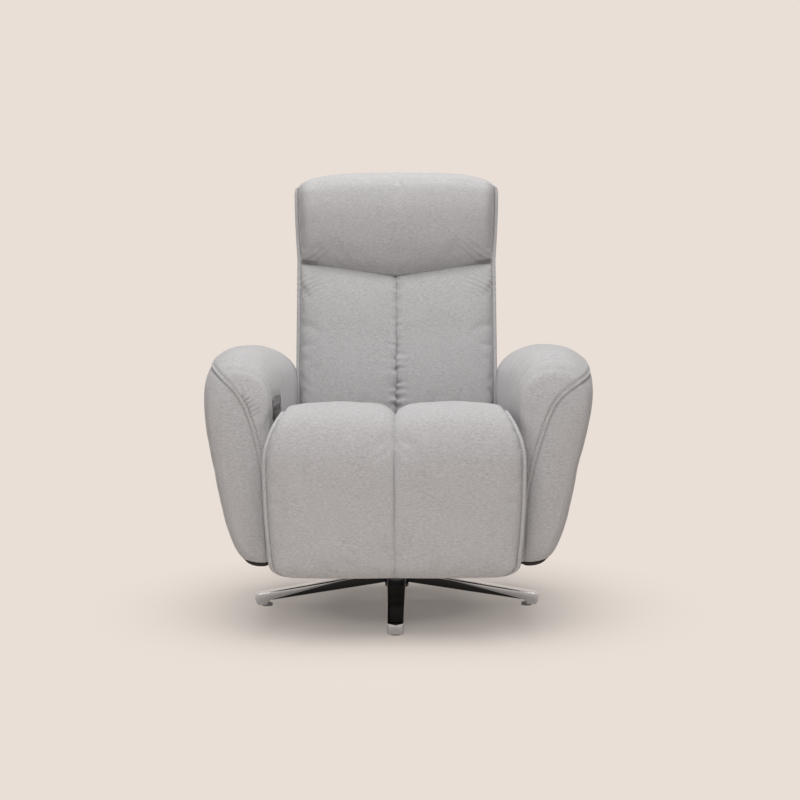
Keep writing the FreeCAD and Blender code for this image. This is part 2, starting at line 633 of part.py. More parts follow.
def roll_half_width(angle):
    """Half width of the pad on the roll, wider in front of the arms."""
    return mix(LEG_PAD_HALF_WIDTH, SEAT_HALF_WIDTH, math.sin(math.radians(angle)) ** 2)


def split_notch():
    """Wedge above the leg-rest hinge that lets the two pads close up."""
    start = HINGE_RADIUS - NOTCH_START
    cosine = math.cos(math.radians(SPLIT_ANGLE))
    sine = math.sin(math.radians(SPLIT_ANGLE))
    apex = (ROLL_Y - start * cosine, ROLL_Z + start * sine)
    reach = 3 * HINGE_DEPTH
    points = [apex]
    for side in (SPLIT_ANGLE - NOTCH_HALF_ANGLE, SPLIT_ANGLE + NOTCH_HALF_ANGLE):
        direction = math.radians(side)
        points.append((apex[0] - reach * math.cos(direction), apex[1] + reach * math.sin(direction)))
    return profile_yz(points, -2 * LEG_PAD_HALF_WIDTH, 2 * LEG_PAD_HALF_WIDTH)


def seat_cushion():
    """Seat pad from the back to the middle of the roll."""
    def upright(y):
        return lambda across, height: Vector(across, y, height)

    crest = ROLL_Z + ROLL_RADIUS
    depth = SEAT_REAR_Y - ROLL_Y
    sections = []
    for share, drop in SEAT_STATIONS:
        y = SEAT_REAR_Y - depth * share
        sections.append(pad_section(upright(y), SEAT_HALF_WIDTH - max(0.0, drop - SEAT_TUCK_DROP) / 4,
                                    CUSHION_BOTTOM, crest - drop))
    end = SPLIT_ANGLE + SPLIT_GAP_ANGLE
    steps = 4
    for index in range(steps + 1):
        angle = mix(90.0, end, index / steps)
        sections.append(pad_section(roll_place(angle), roll_half_width(angle), PAD_INNER, ROLL_RADIUS))
    return both_halves(sections)


def legrest_cushion():
    """Leg-rest pad from the middle of the roll down to its rounded end."""
    def flat(z):
        return lambda across, height: Vector(across, ROLL_Y - height, z)

    sections = []
    start = SPLIT_ANGLE - SPLIT_GAP_ANGLE
    steps = 4
    for index in range(steps + 1):
        angle = mix(start, 0.0, index / steps)
        sections.append(pad_section(roll_place(angle), roll_half_width(angle), PAD_INNER, ROLL_RADIUS))
    end = LEG_PAD_BOTTOM + LEG_PAD_END_RADIUS
    for share in (0.2, 0.45, 0.75, 1.0):
        half_width = mix(LEG_PAD_HALF_WIDTH, LEG_PAD_END_HALF_WIDTH, share ** 2)
        sections.append(pad_section(flat(mix(ROLL_Z, end, share)), half_width, PAD_INNER, ROLL_RADIUS))
    for angle in (35.0, 65.0, 90.0):
        fall = LEG_PAD_END_RADIUS * math.sin(math.radians(angle))
        pull = LEG_PAD_END_RADIUS * (1 - math.cos(math.radians(angle)))
        sections.append(pad_section(flat(end - fall), LEG_PAD_END_HALF_WIDTH - 1.4 * pull, PAD_INNER,
                                    ROLL_RADIUS - 0.6 * pull))
    return both_halves(sections)


def ear_plate(points, x0):
    """Hinge plate at +X: a polygon and a round ear at the leg-rest hinge line."""
    plate = profile_yz(points, x0, x0 + PLATE)
    return plate.fuse(bar_x(EAR_RADIUS, x0, x0 + PLATE, HINGE_Y, HINGE_Z)).removeSplitter()


def legrest_bracket():
    """Plate from the front board to the leg-rest hinge."""
    reach = EAR_RADIUS * 0.9
    points = [
        (HINGE_Y - reach * 0.4, HINGE_Z + reach),
        (FRONT_BOARD_Y, FRONT_BOARD_TOP),
        (FRONT_BOARD_Y, FRONT_BOARD_TOP - 2.2 * EAR_RADIUS),
        (HINGE_Y + reach * 0.2, HINGE_Z - reach * 0.9),
    ]
    return ear_plate(points, LEGREST_BRACKET_X)


def legrest_arm():
    """Plate from the leg-rest hinge down the back of the leg-rest board."""
    reach = EAR_RADIUS * 0.9
    rear = LEGREST_BOARD_REAR + LEGREST_ARM_WIDTH
    middle = mix(LEGREST_BOARD_BOTTOM, LEGREST_BOARD_TOP, 0.5)
    points = [
        (HINGE_Y - reach, HINGE_Z),
        (HINGE_Y + reach, HINGE_Z + reach * 0.3),
        (rear, LEGREST_BOARD_TOP - LEGREST_ARM_WIDTH),
        (rear, middle),
        (LEGREST_BOARD_REAR, middle - LEGREST_ARM_WIDTH),
        (LEGREST_BOARD_REAR, LEGREST_BOARD_TOP),
        (LEGREST_BOARD_REAR - LEGREST_BOARD_THICKNESS, LEGREST_BOARD_TOP),
    ]
    return ear_plate(points, LEGREST_BRACKET_X + PLATE + LEGREST_PLATE_GAP)


def legrest_pin():
    """Pin at +X through the two hinge plates of the leg rest."""
    x0 = LEGREST_BRACKET_X - LEGREST_PLATE_GAP
    x1 = LEGREST_BRACKET_X + 2 * PLATE + 2 * LEGREST_PLATE_GAP
    return bar_x(LEGREST_PIN_RADIUS, x0, x1, HINGE_Y, HINGE_Z)


def crank(x0, hinge_points, pin):
    """Plate from a swinging frame to its actuator's pin, with the pin's hole."""
    plate = profile_yz(hinge_points, x0, x0 + PLATE)
    plate = plate.fuse(bar_x(EYE_RADIUS, x0, x0 + PLATE, pin[0], pin[1])).removeSplitter()
    return plate.cut(bar_x(ACTUATOR_PIN_RADIUS, x0, x0 + PLATE, pin[0], pin[1]))


def add_seat(nodes):
    """Seat pad, leg-rest pad and the leg rest's hinge and board."""
    bracket = legrest_bracket()
    arm = legrest_arm()
    pin = legrest_pin()
    x0 = LEGREST_BRACKET_X - 2 * LEGREST_PLATE_GAP
    x1 = LEGREST_BRACKET_X + 2 * PLATE + 3 * LEGREST_PLATE_GAP
    pocket = bar_x(EAR_RADIUS + EAR_GAP, x0, x1, HINGE_Y, HINGE_Z)
    board = box(-LEGREST_BOARD_HALF_WIDTH, LEGREST_BOARD_HALF_WIDTH,
                LEGREST_BOARD_FRONT, LEGREST_BOARD_REAR, LEGREST_BOARD_BOTTOM, LEGREST_BOARD_TOP)
    reach = SIDE_PLATE_X + SOFT_GAP
    board_room = box(-reach, reach, FRONT_BOARD_Y, FRONT_BOARD_REAR + SOFT_GAP,
                     FRONT_BOARD_BOTTOM, FRONT_BOARD_TOP + SOFT_GAP)
    cutters = [split_notch(), pocket, mirrored(pocket), pair(bracket), pair(arm), board_room]
    seat = seat_cushion()
    legrest = legrest_cushion()
    for cutter in cutters:
        seat = seat.cut(cutter)
        legrest = legrest.cut(cutter)
    nodes["seat_cushion"] = seat
    nodes["legrest_cushion"] = legrest
    nodes["legrest_board"] = board
    nodes["legrest_brackets"] = pair(bracket.cut(pin))
    nodes["legrest_pins"] = pair(pin)
    running = bar_x(LEGREST_PIN_RADIUS + RUNNING, x0, x1, HINGE_Y, HINGE_Z)
    nodes["legrest_arms"] = pair(arm.cut(running))
    pin_y, pin_z = LEG_LINK.pin
    points = [
        (LEGREST_BOARD_REAR, pin_z + 2.5 * EYE_RADIUS),
        (pin_y, pin_z + EYE_RADIUS),
        (pin_y, pin_z - EYE_RADIUS),
        (LEGREST_BOARD_REAR, pin_z - 2.5 * EYE_RADIUS),
    ]
    nodes["legrest_crank"] = crank(LEG_MOTOR_X + ROD_RADIUS + CRANK_GAP, points, LEG_LINK.pin)


def back_point(across, along, depth):
    """Point of the back: across, along its lean from seat level, and behind its face."""
    y = BACK_FACE_Y + along * math.sin(LEAN) + depth * math.cos(LEAN)
    z = BACK_FACE_Z + along * math.cos(LEAN) - depth * math.sin(LEAN)
    return Vector(across, y, z)


def back_local(y, z):
    """Distance along and behind the back's face of a point in Y and Z."""
    run = y - BACK_FACE_Y
    rise = z - BACK_FACE_Z
    along = run * math.sin(LEAN) + rise * math.cos(LEAN)
    return along, run * math.cos(LEAN) - rise * math.sin(LEAN)


HINGE_ALONG, HINGE_BEHIND = back_local(BACK_HINGE_Y, BACK_HINGE_Z)
BACK_FRAME_FRONT = HINGE_BEHIND - BACK_TUBE / 2
BACK_FRAME_REAR = HINGE_BEHIND + BACK_TUBE / 2
BACK_CRANK_X = BACK_MOTOR_X - ROD_RADIUS - CRANK_GAP - PLATE


def leaned(x0, x1, along0, along1, depth0, depth1):
    """Block set square to the back's lean."""
    block = box(x0, x1, depth0, depth1, along0, along1)
    block.rotate(Vector(0, 0, 0), Vector(1, 0, 0), -BACK_LEAN)
    block.translate(Vector(0, BACK_FACE_Y, BACK_FACE_Z))
    return block


def back_place(along, slope):
    """Places a section of a back pad; its height is measured forward from the pad's back."""
    def place(across, height):
        return back_point(across, along + slope * across, BACK_PAD_DEPTH - height)

    return place


def back_half_width(along):
    """Half width of the back, narrow at the neck and wide at the head."""
    if along < BACK_SEAM:
        return mix(BACK_LOW_HALF_WIDTH, BACK_NECK_HALF_WIDTH, max(0.0, along) / BACK_SEAM)
    share = (along - BACK_SEAM) / (BACK_TOP - BACK_SEAM)
    return mix(BACK_NECK_HALF_WIDTH, BACK_TOP_HALF_WIDTH, math.sin(share * math.pi / 2))


def back_slope(along):
    """How much a section of the head part rises towards the side."""
    share = (along - BACK_SEAM) / (BACK_TOP - BACK_SEAM)
    return mix(BACK_SEAM_RISE, BACK_TOP_FALL, share)


def lumbar_cushion():
    """Lower back pad, up to the neck seam."""
    bottom = BACK_FRAME_BOTTOM + NOTCH_TOP * -1
    sections = []
    for share, drop in LUMBAR_STATIONS:
        along = mix(bottom, BACK_SEAM, share)
        slope = BACK_SEAM_RISE * share ** 3
        sections.append(pad_section(back_place(along, slope), back_half_width(along) - drop / 12, 0.0,
                                    BACK_PAD_DEPTH - drop))
    return both_halves(sections)


def headrest_cushion():
    """Head pad above the neck seam, fuller than the pad below."""
    sections = []
    start = BACK_SEAM + SOFT_GAP
    for share, rise in HEAD_STATIONS:
        along = mix(start, BACK_TOP, share)
        pull = 20.0 * max(0.0, share - 0.9) / 0.1
        sections.append(pad_section(back_place(along, back_slope(along)), back_half_width(along) - pull, 0.0,
                                    BACK_PAD_DEPTH + rise, 0.0))
    return both_halves(sections)


def back_outer_panel():
    """Padded outer back: a shell behind the frame that wraps its sides and top."""
    front = BACK_PAD_DEPTH + SOFT_GAP
    sections = []
    for share, rear in PANEL_STATIONS:
        along = mix(PANEL_BOTTOM, BACK_TOP, share)
        slope = back_slope(along) if along > BACK_SEAM else 0.0
        if along > BACK_SEAM:
            slope -= BACK_SEAM_RISE * (BACK_TOP - along) / (BACK_TOP - BACK_SEAM)
        pull = 20.0 * max(0.0, share - 0.94) / 0.06
        half_width = back_half_width(along) - pull

        def place(across, depth):
            return back_point(across, along + slope * across, depth)

        round_edge = min(PANEL_EDGE_RADIUS, (rear - front) * 0.7)
        side_rear = place(half_width - 4.0, rear - round_edge)
        crown_side = place(half_width - round_edge * 1.3, rear - CROWN)
        side_front = place(half_width - 2.0, front)
        side_middle = place(half_width, mix(front, rear - round_edge, 0.5))
        sections.append(Part.Wire([
            line(place(0, front), side_front),
            arc(side_front, side_middle, side_rear),
            arc(side_rear, place(half_width - round_edge * 0.5, rear - round_edge * 0.36), crown_side),
            arc(crown_side, place(half_width * 0.45, rear - 0.5), place(0, rear)),
            line(place(0, rear), place(0, front)),
        ]))
    cavity = leaned(-BACK_STILE_X, BACK_STILE_X, 2 * PANEL_BOTTOM, BACK_FRAME_TOP, 0.0, BACK_FRAME_REAR)
    return both_halves(sections).cut(cavity)


def side_notch():
    """Room beside the lower back for the side plates and their washers."""
    block = leaned(BACK_STILE_X, 2 * BACK_STILE_X, 2 * PANEL_BOTTOM, NOTCH_TOP, -4 * BACK_TUBE, 8 * BACK_TUBE)
    return pair(block)


def add_back(nodes):
    """Back frame with its webbing, pads, outer panel and hinge."""
    inner = BACK_STILE_X - BACK_TUBE
    hole = bar_x(BACK_PIN_RADIUS + RUNNING, 0, SIDE_PLATE_X, BACK_HINGE_Y, BACK_HINGE_Z)
    outer = leaned(inner, BACK_STILE_X, BACK_FRAME_BOTTOM, BACK_FRAME_TOP, BACK_FRAME_FRONT, BACK_FRAME_REAR)
    wall = BACK_TUBE_WALL
    core = leaned(inner + wall, BACK_STILE_X - wall, 2 * BACK_FRAME_BOTTOM, 2 * BACK_FRAME_TOP,
                  BACK_FRAME_FRONT + wall, BACK_FRAME_REAR - wall)
    stile = outer.cut(core).cut(hole)
    nodes["back_stile_right"] = stile
    nodes["back_stile_left"] = mirrored(stile)
    rails = []
    for start in (BACK_FRAME_BOTTOM, BACK_SEAM, BACK_FRAME_TOP - BACK_TUBE):
        rail = leaned(-inner, inner, start, start + BACK_TUBE, BACK_FRAME_FRONT, BACK_FRAME_REAR)
        bore = leaned(-2 * inner, 2 * inner, start + wall, start + BACK_TUBE - wall,
                      BACK_FRAME_FRONT + wall, BACK_FRAME_REAR - wall)
        rails.append(rail.cut(bore))
    nodes["back_cross_rails"] = Part.makeCompound(rails)
    pitch = (BACK_FRAME_TOP - WEBBING_WIDTH) / BACK_STRAP_COUNT
    bands = []
    for index in range(BACK_STRAP_COUNT):
        start = pitch * (index + 0.5)
        bands.append(leaned(-BACK_STILE_X, BACK_STILE_X, start, start + WEBBING_WIDTH,
                            BACK_FRAME_FRONT - WEBBING_THICKNESS / 2, BACK_FRAME_FRONT))
    nodes["back_webbing"] = Part.makeCompound(bands)
    notch = side_notch()
    nodes["lumbar_cushion"] = lumbar_cushion().cut(notch)
    nodes["headrest_cushion"] = headrest_cushion()
    slot = leaned(BACK_CRANK_X - POCKET_GAP, BACK_CRANK_X + PLATE + POCKET_GAP, 2 * PANEL_BOTTOM,
                  BACK_FRAME_BOTTOM, 0.0, BACK_FRAME_REAR + EYE_RADIUS)
    nodes["back_outer_panel"] = back_outer_panel().cut(notch).cut(slot)
    reach = SIDE_PLATE_X + PLATE
    pin = bar_x(BACK_PIN_RADIUS, inner - PLATE, reach, BACK_HINGE_Y, BACK_HINGE_Z)
    head = bar_x(BACK_PIN_HEAD_RADIUS, reach, reach + PLATE, BACK_HINGE_Y, BACK_HINGE_Z)
    nodes["back_hinge_pins"] = pair(pin.fuse(head))
    washer = bar_x(WASHER_RADIUS, BACK_STILE_X + WASHER_GAP, SIDE_PLATE_X, BACK_HINGE_Y, BACK_HINGE_Z)
    nodes["back_hinge_washers"] = pair(washer.cut(pin))
    pin_y, pin_z = BACK_LINK.pin
    foot = back_point(0, BACK_FRAME_BOTTOM, HINGE_BEHIND)
    half = BACK_TUBE * 0.45
    points = [
        (foot.y - half * math.cos(LEAN), foot.z + half * math.sin(LEAN)),
        (pin_y - EYE_RADIUS, pin_z),
        (pin_y + EYE_RADIUS, pin_z),
        (foot.y + half * math.cos(LEAN), foot.z - half * math.sin(LEAN)),
    ]
    nodes["back_crank"] = crank(BACK_CRANK_X, points, BACK_LINK.pin)


def actuator(link, x, can_side):
    """Housing, tube and rod of a linear actuator, set along its link at rest."""
    near = min(link.rest_length, link.end_length)
    far = max(link.rest_length, link.end_length)
    rod_length = near - GEARBOX_END - EYE_RADIUS / 2
    tube_end = far - rod_length + ROD_OVERLAP
    half = GEARBOX_HALF_WIDTH
    eye = TAIL_EYE_WIDTH / 2
    along = Vector(0, 1, 0)
    housing = bar_x(EYE_RADIUS, -eye, eye, 0, 0)
    housing = housing.fuse(box(-eye, eye, 0, GEARBOX_START, -EYE_RADIUS, EYE_RADIUS))
    gearbox = box(-half, half, GEARBOX_START, GEARBOX_END, -GEARBOX_HALF_HEIGHT, GEARBOX_HALF_HEIGHT)
    housing = housing.fuse(gearbox)
    middle = mix(GEARBOX_START, GEARBOX_END, 0.5)
    can = bar_x(MOTOR_CAN_RADIUS, half, half + MOTOR_CAN_LENGTH, middle, 0)
    if can_side < 0:
        can = mirrored(can)
    housing = housing.fuse(can).cut(bar_x(ACTUATOR_PIN_RADIUS + RUNNING, -eye, eye, 0, 0)).removeSplitter()
    start = Vector(0, GEARBOX_END, 0)
    tube = cylinder(MOTOR_TUBE_RADIUS, tube_end - GEARBOX_END, start, along)
    tube = tube.cut(cylinder(ROD_RADIUS + RUNNING, tube_end - GEARBOX_END, start, along))
    end = link.rest_length
    rod = cylinder(ROD_RADIUS, rod_length, Vector(0, end - rod_length, 0), along)
    rod = rod.fuse(bar_x(EYE_RADIUS, -ROD_RADIUS, ROD_RADIUS, end, 0))
    rod = rod.cut(bar_x(ACTUATOR_PIN_RADIUS, -ROD_RADIUS, ROD_RADIUS, end, 0))
    placement = Placement(Vector(x, link.tail[0], link.tail[1]), Rotation(Vector(1, 0, 0), link.rest_angle))
    shapes = [housing, tube, rod]
    for shape in shapes:
        shape.Placement = placement
    return shapes


def motor_bracket(link, x):
    """Bar across the side rails with two ears for an actuator's tail pin."""
    y, z = link.tail
    base_top = RAIL_TOP + BRACKET_BASE
    span = SIDE_RAIL_X + SIDE_RAIL_WIDTH / 2
    bracket = box(-span, span, y - BRACKET_DEPTH / 2, y + BRACKET_DEPTH / 2, RAIL_TOP, base_top)
    inner = TAIL_EYE_WIDTH / 2 + BRACKET_GAP
    for x0 in (x - inner - PLATE, x + inner):
        points = [
            (y - BRACKET_DEPTH / 2, base_top),
            (y + BRACKET_DEPTH / 2, base_top),
            (y + EYE_RADIUS, z),
            (y - EYE_RADIUS, z),
        ]
        bracket = bracket.fuse(profile_yz(points, x0, x0 + PLATE))
        bracket = bracket.fuse(bar_x(EYE_RADIUS, x0, x0 + PLATE, y, z))
    return bracket.removeSplitter().cut(tail_pin(link, x))


def tail_pin(link, x):
    """Pin that holds an actuator's tail in its bracket."""
    reach = TAIL_EYE_WIDTH / 2 + BRACKET_GAP + PLATE + BRACKET_GAP
    return bar_x(ACTUATOR_PIN_RADIUS, x - reach, x + reach, link.tail[0], link.tail[1])


def add_actuators(nodes):
    """Both actuators, their brackets and tail pins."""
    for name, link, x in (("leg", LEG_LINK, LEG_MOTOR_X), ("back", BACK_LINK, BACK_MOTOR_X)):
        housing, tube, rod = actuator(link, x, math.copysign(1, x))
        nodes[name + "_motor_housing"] = housing
        nodes[name + "_motor_tube"] = tube
        nodes[name + "_motor_rod"] = rod
        nodes[name + "_motor_bracket"] = motor_bracket(link, x)
    pins = [tail_pin(LEG_LINK, LEG_MOTOR_X), tail_pin(BACK_LINK, BACK_MOTOR_X)]
    nodes["motor_tail_pins"] = Part.makeCompound(pins)


def arm_inner(y):
    """Distance of the arm's inner face from the middle, spreading towards the front."""
    share = min(1.0, max(0.0, -y / (-ARM_FRONT - 25.0)))
    return ARM_INNER + ARM_FLARE * share ** 1.25


def arm_section(y, outer_inset, top_drop, bottom_rise, inner_inset):
    """Section of the arm at +X; insets draw its outline in towards the ends of the arm."""
    inner = arm_inner(y) + inner_inset
    outer = ARM_OUTER - outer_inset
    top = ARM_TOP - top_drop
    bottom = ARM_BOTTOM + bottom_rise

    def point(across, height):
        return Vector(mix(inner, outer, across), y, mix(bottom, top, height))

    return Part.Wire([
        line(point(0.0, 0.07), point(0.0, 0.84)),
        arc(point(0.0, 0.84), point(0.115, 0.945), point(0.48, 1.0)),
        arc(point(0.48, 1.0), point(0.85, 0.93), point(1.0, 0.80)),
        arc(point(1.0, 0.80), point(0.93, 0.54), point(0.75, 0.25)),
        arc(point(0.75, 0.25), point(0.55, 0.085), point(0.24, 0.0)),
        arc(point(0.24, 0.0), point(0.06, 0.015), point(0.0, 0.07)),
    ])


def arm_upholstery():
    """Padded arm at +X with its crowned top and tapering outer face."""
    sections = []
    for share, outer, drop, rise, inset in ARM_STATIONS:
        end = ARM_FRONT if share < 0 else ARM_REAR
        sections.append(arm_section(abs(share) * end, outer, drop, rise, inset))
    return Part.makeLoft(sections, True, True)


def control_frame(shape):
    """Moves a piece from the control plate's own frame onto the arm's inner face."""
    half = PLATE_LENGTH / 2
    front = -arm_inner(PLATE_Y - half)
    rear = -arm_inner(PLATE_Y + half)
    angle = -math.degrees(math.atan2(rear - front, PLATE_LENGTH))
    centre = Vector((front + rear) / 2, PLATE_Y, PLATE_Z)
    shape.Placement = Placement(centre, Rotation(Vector(0, 0, 1), angle))
    return shape


def rounded_plate(x0, x1, length, height, corner):
    """Plate in Y and Z with rounded corners, centred on the control frame."""
    slab = box(x0, x1, -length / 2, length / 2, -height / 2, height / 2)
    edges = [edge for edge in slab.Edges if abs(edge.tangentAt(edge.FirstParameter).x) > 0.9]
    return slab.makeFillet(corner, edges)


def button_places():
    """Offsets of the buttons along the control plate."""
    return [BUTTON_PITCH * (index - (BUTTON_COUNT - 1) / 2) for index in range(BUTTON_COUNT)]


def add_controls(nodes):
    """Control plate, its buttons and the switch box behind it; returns the pocket they need."""
    plate = rounded_plate(-PLATE_SUNK, PLATE_PROUD, PLATE_LENGTH, PLATE_HEIGHT, PLATE_CORNER)
    back = -PLATE_SUNK
    length = PLATE_LENGTH - 2 * SWITCH_BOX_INSET
    height = PLATE_HEIGHT - 2 * SWITCH_BOX_INSET
    case = box(back - SWITCH_BOX_DEPTH, back, -length / 2, length / 2, -height / 2, height / 2)
    pocket = plate.fuse(case)
    wall = SWITCH_BOX_WALL
    case = case.cut(box(back - SWITCH_BOX_DEPTH + wall, back, wall - length / 2, length / 2 - wall,
                        wall - height / 2, height / 2 - wall))
    face = PLATE_PROUD + BUTTON_PROUD
    flange_face = back - BUTTON_GAP
    floor = back - SWITCH_BOX_DEPTH + wall
    for index, y in enumerate(button_places()):
        plate = plate.cut(bar_x(BUTTON_RADIUS + BUTTON_GAP, back, face, y, 0))
        button = bar_x(BUTTON_RADIUS, flange_face - BUTTON_FLANGE, face, y, 0)
        button = button.fuse(bar_x(BUTTON_FLANGE_RADIUS, flange_face - BUTTON_FLANGE, flange_face, y, 0))
        stem_start = floor + BUTTON_TRAVEL + BUTTON_GAP
        button = button.fuse(bar_x(BUTTON_RADIUS / 2, stem_start, flange_face, y, 0)).removeSplitter()
        nodes["button_" + str(index + 1)] = control_frame(button)
    nodes["control_plate"] = control_frame(plate)
    nodes["switch_box"] = control_frame(case)
    return control_frame(pocket)


def add_arms(nodes, control_pocket):
    """Arm boards, their bolts and the upholstery round them."""
    board = box(ARM_BOARD_X, ARM_BOARD_X + ARM_BOARD_THICKNESS, ARM_BOARD_Y[0], ARM_BOARD_Y[1],
                ARM_BOARD_Z[0], ARM_BOARD_Z[1])
    bolts = arm_bolts(ARM_BOLT_RADIUS, ARM_BOLT_HEAD_RADIUS, BOLT_HEAD_HEIGHT)
    pockets = arm_bolts(ARM_BOLT_RADIUS, ARM_BOLT_HEAD_RADIUS + POCKET_GAP, BOLT_HEAD_HEIGHT + POCKET_GAP)
    upholstery = arm_upholstery().cut(board).cut(pockets)
    for front in (FRONT_TUBE_Y, REAR_TUBE_Y):
        upholstery = upholstery.cut(box(0, ARM_BOARD_X, front, front + CROSS_TUBE, RAIL_TOP, TUBE_TOP))
    nodes["arm_upholstery_right"] = upholstery
    nodes["arm_upholstery_left"] = mirrored(upholstery).cut(control_pocket)
    board = board.cut(bolts)
    nodes["arm_board_right"] = board
    nodes["arm_board_left"] = mirrored(board)
    nodes["arm_bolts"] = bolts


def main():
    """Builds every node and writes it to its own file."""
    nodes = {}
    add_base(nodes)
    add_swivel(nodes)
    add_frame(nodes)
    add_seat(nodes)
    add_back(nodes)
    add_actuators(nodes)
    add_arms(nodes, add_controls(nodes))
    os.makedirs("parts", exist_ok=True)
    for name, shape in nodes.items():
        state = "valid" if shape.isValid() else "INVALID"
        print(name, len(shape.Solids), "solids", round(shape.Volume), "mm3", state)
        shape.exportStep("parts/" + name + ".step")
    print(len(nodes), "nodes")
    for name, link in (("leg", LEG_LINK), ("back", BACK_LINK)):
        print(name, "actuator", round(link.rest_length, 2), "to", round(link.end_length, 2),
              "mm, from", round(link.rest_angle, 3), "to", round(link.end_angle, 3), "degrees")


main()
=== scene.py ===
import logging
import math
from collections.abc import Callable, Sequence
from dataclasses import dataclass, field
from enum import Enum

import bmesh
import bpy
import numpy as np
from mathutils import Matrix, Vector, noise


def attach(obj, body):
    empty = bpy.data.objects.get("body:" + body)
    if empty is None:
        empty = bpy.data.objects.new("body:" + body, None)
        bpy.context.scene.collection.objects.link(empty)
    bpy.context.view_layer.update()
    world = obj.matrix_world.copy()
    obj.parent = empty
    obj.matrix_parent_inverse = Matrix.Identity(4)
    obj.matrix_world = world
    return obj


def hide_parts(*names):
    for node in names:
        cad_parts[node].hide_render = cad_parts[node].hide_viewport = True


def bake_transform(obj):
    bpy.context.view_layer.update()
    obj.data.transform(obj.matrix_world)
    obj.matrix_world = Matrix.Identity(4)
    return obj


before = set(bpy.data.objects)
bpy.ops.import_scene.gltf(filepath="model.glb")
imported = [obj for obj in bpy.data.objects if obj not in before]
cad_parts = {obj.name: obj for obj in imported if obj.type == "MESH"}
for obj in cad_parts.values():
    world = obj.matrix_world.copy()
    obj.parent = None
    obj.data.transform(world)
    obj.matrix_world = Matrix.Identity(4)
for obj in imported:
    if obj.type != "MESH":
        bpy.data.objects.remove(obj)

log = logging.getLogger("recliner")

# The chair faces -Y and its swivel axis is Z. Lengths are in millimetres until a mesh is made.
MM = 0.001

Number = float | np.ndarray
Pairs = tuple[tuple[float, float], ...]


def linear(hex_colour: str) -> tuple[float, float, float, float]:
    """Turns an sRGB hex colour into linear RGBA.

    Args:
        hex_colour: Six hex digits, such as "b7b3b1".

    Returns:
        The linear colour with an alpha of 1.
    """
    parts = [int(hex_colour[i:i + 2], 16) / 255 for i in (0, 2, 4)]
    return tuple(c / 12.92 if c <= 0.04045 else ((c + 0.055) / 1.055) ** 2.4 for c in parts) + (1.0,)


def add_node(tree: bpy.types.NodeTree, kind: str, settings: dict | None = None,
             links: dict | None = None) -> bpy.types.Node:
    """Adds a shader node with its settings and links.

    Args:
        tree: The node tree that takes the node.
        kind: Blender's name of the node type.
        settings: Properties by name, or input values by socket name or index.
        links: Output sockets to connect, by input socket name or index.

    Returns:
        The new node.
    """
    node = tree.nodes.new(kind)
    for key, value in (settings or {}).items():
        if isinstance(key, str) and hasattr(node, key):
            setattr(node, key, value)
        else:
            node.inputs[key].default_value = value
    for key, source in (links or {}).items():
        tree.links.new(source, node.inputs[key])
    return node


def mix(low: Number, high: Number, share: Number) -> Number:
    """Gives the value at a share of the way between two.

    Args:
        low: Value at a share of 0.
        high: Value at a share of 1.
        share: How far along, from 0 to 1.

    Returns:
        The value between them.
    """
    return low + (high - low) * share


def eased(share: Number) -> Number:
    """Eases a share in and out.

    Args:
        share: From 0 to 1.

    Returns:
        The share, level at both ends.
    """
    return share * share * (3 - 2 * share)


def travelled(line: np.ndarray) -> np.ndarray:
    """Measures along a line.

    Args:
        line: Points, one row each.

    Returns:
        The distance from the first point to each point.
    """
    return np.concatenate([[0], np.cumsum(np.linalg.norm(np.diff(line, axis=0), axis=1))])


def read_along(at: Number, run: np.ndarray, rows: np.ndarray) -> np.ndarray:
    """Reads rows of values at distances along their line.

    Args:
        at: One distance or several.
        run: Distance of each row.
        rows: The rows.

    Returns:
        The values there, with those of a row on the last axis.
    """
    return np.stack([np.interp(at, run, rows[:, k]) for k in range(rows.shape[1])], axis=-1)


def mirrored(half: np.ndarray) -> np.ndarray:
    """Closes a half section with its mirror image.

    Args:
        half: Distances across and heights, from middle to middle.

    Returns:
        The points of the whole section.
    """
    return np.concatenate([half, half[-2:0:-1] * (-1, 1)])


def through(knots: Sequence[float], values: Sequence, at: Sequence[float]) -> np.ndarray:
    """Reads a smooth curve through uneven samples.

    Args:
        knots: Rising positions of the samples.
        values: The samples, one row each.
        at: Positions to read the curve at.

    Returns:
        The curve's values at those positions.
    """
    knots, values, at = (np.asarray(v, float) for v in (knots, values, at))
    slopes = np.gradient(values, knots, axis=0)
    i = np.clip(np.searchsorted(knots, at, side="right") - 1, 0, len(knots) - 2)
    step = knots[i + 1] - knots[i]
    f = np.clip((at - knots[i]) / step, 0, 1)
    if values.ndim > 1:
        step, f = step[:, None], f[:, None]
    return (mix(values[i], values[i + 1], eased(f)) + step * slopes[i] * f * (1 - f) ** 2
            - step * slopes[i + 1] * f * f * (1 - f))


def refine(values: np.ndarray, factor: int, closed: bool) -> np.ndarray:
    """Adds samples between even samples along the first axis, on a smooth curve through them.

    Args:
        values: The samples.
        factor: Steps that each old step is divided into.
        closed: Whether the last sample joins the first.

    Returns:
        The finer samples.
    """
    count = len(values)
    total = count * factor if closed else (count - 1) * factor + 1
    place = np.arange(total) / factor
    i = np.floor(place).astype(int)
    f = (place - i).reshape((-1,) + (1,) * (values.ndim - 1))
    a, b, c, d = (values[(i + k) % count if closed else np.clip(i + k, 0, count - 1)] for k in (-1, 0, 1, 2))
    return b + 0.5 * f * (c - a + f * (2 * a - 5 * b + 4 * c - d + f * (3 * (b - c) + d - a)))


def placed(name: str, data: bpy.types.ID) -> bpy.types.Object:
    """Puts a new object in the scene.

    Args:
        name: Name of the object.
        data: Its mesh, light or camera.

    Returns:
        The object.
    """
    made = bpy.data.objects.new(name, data)
    bpy.context.scene.collection.objects.link(made)
    return made


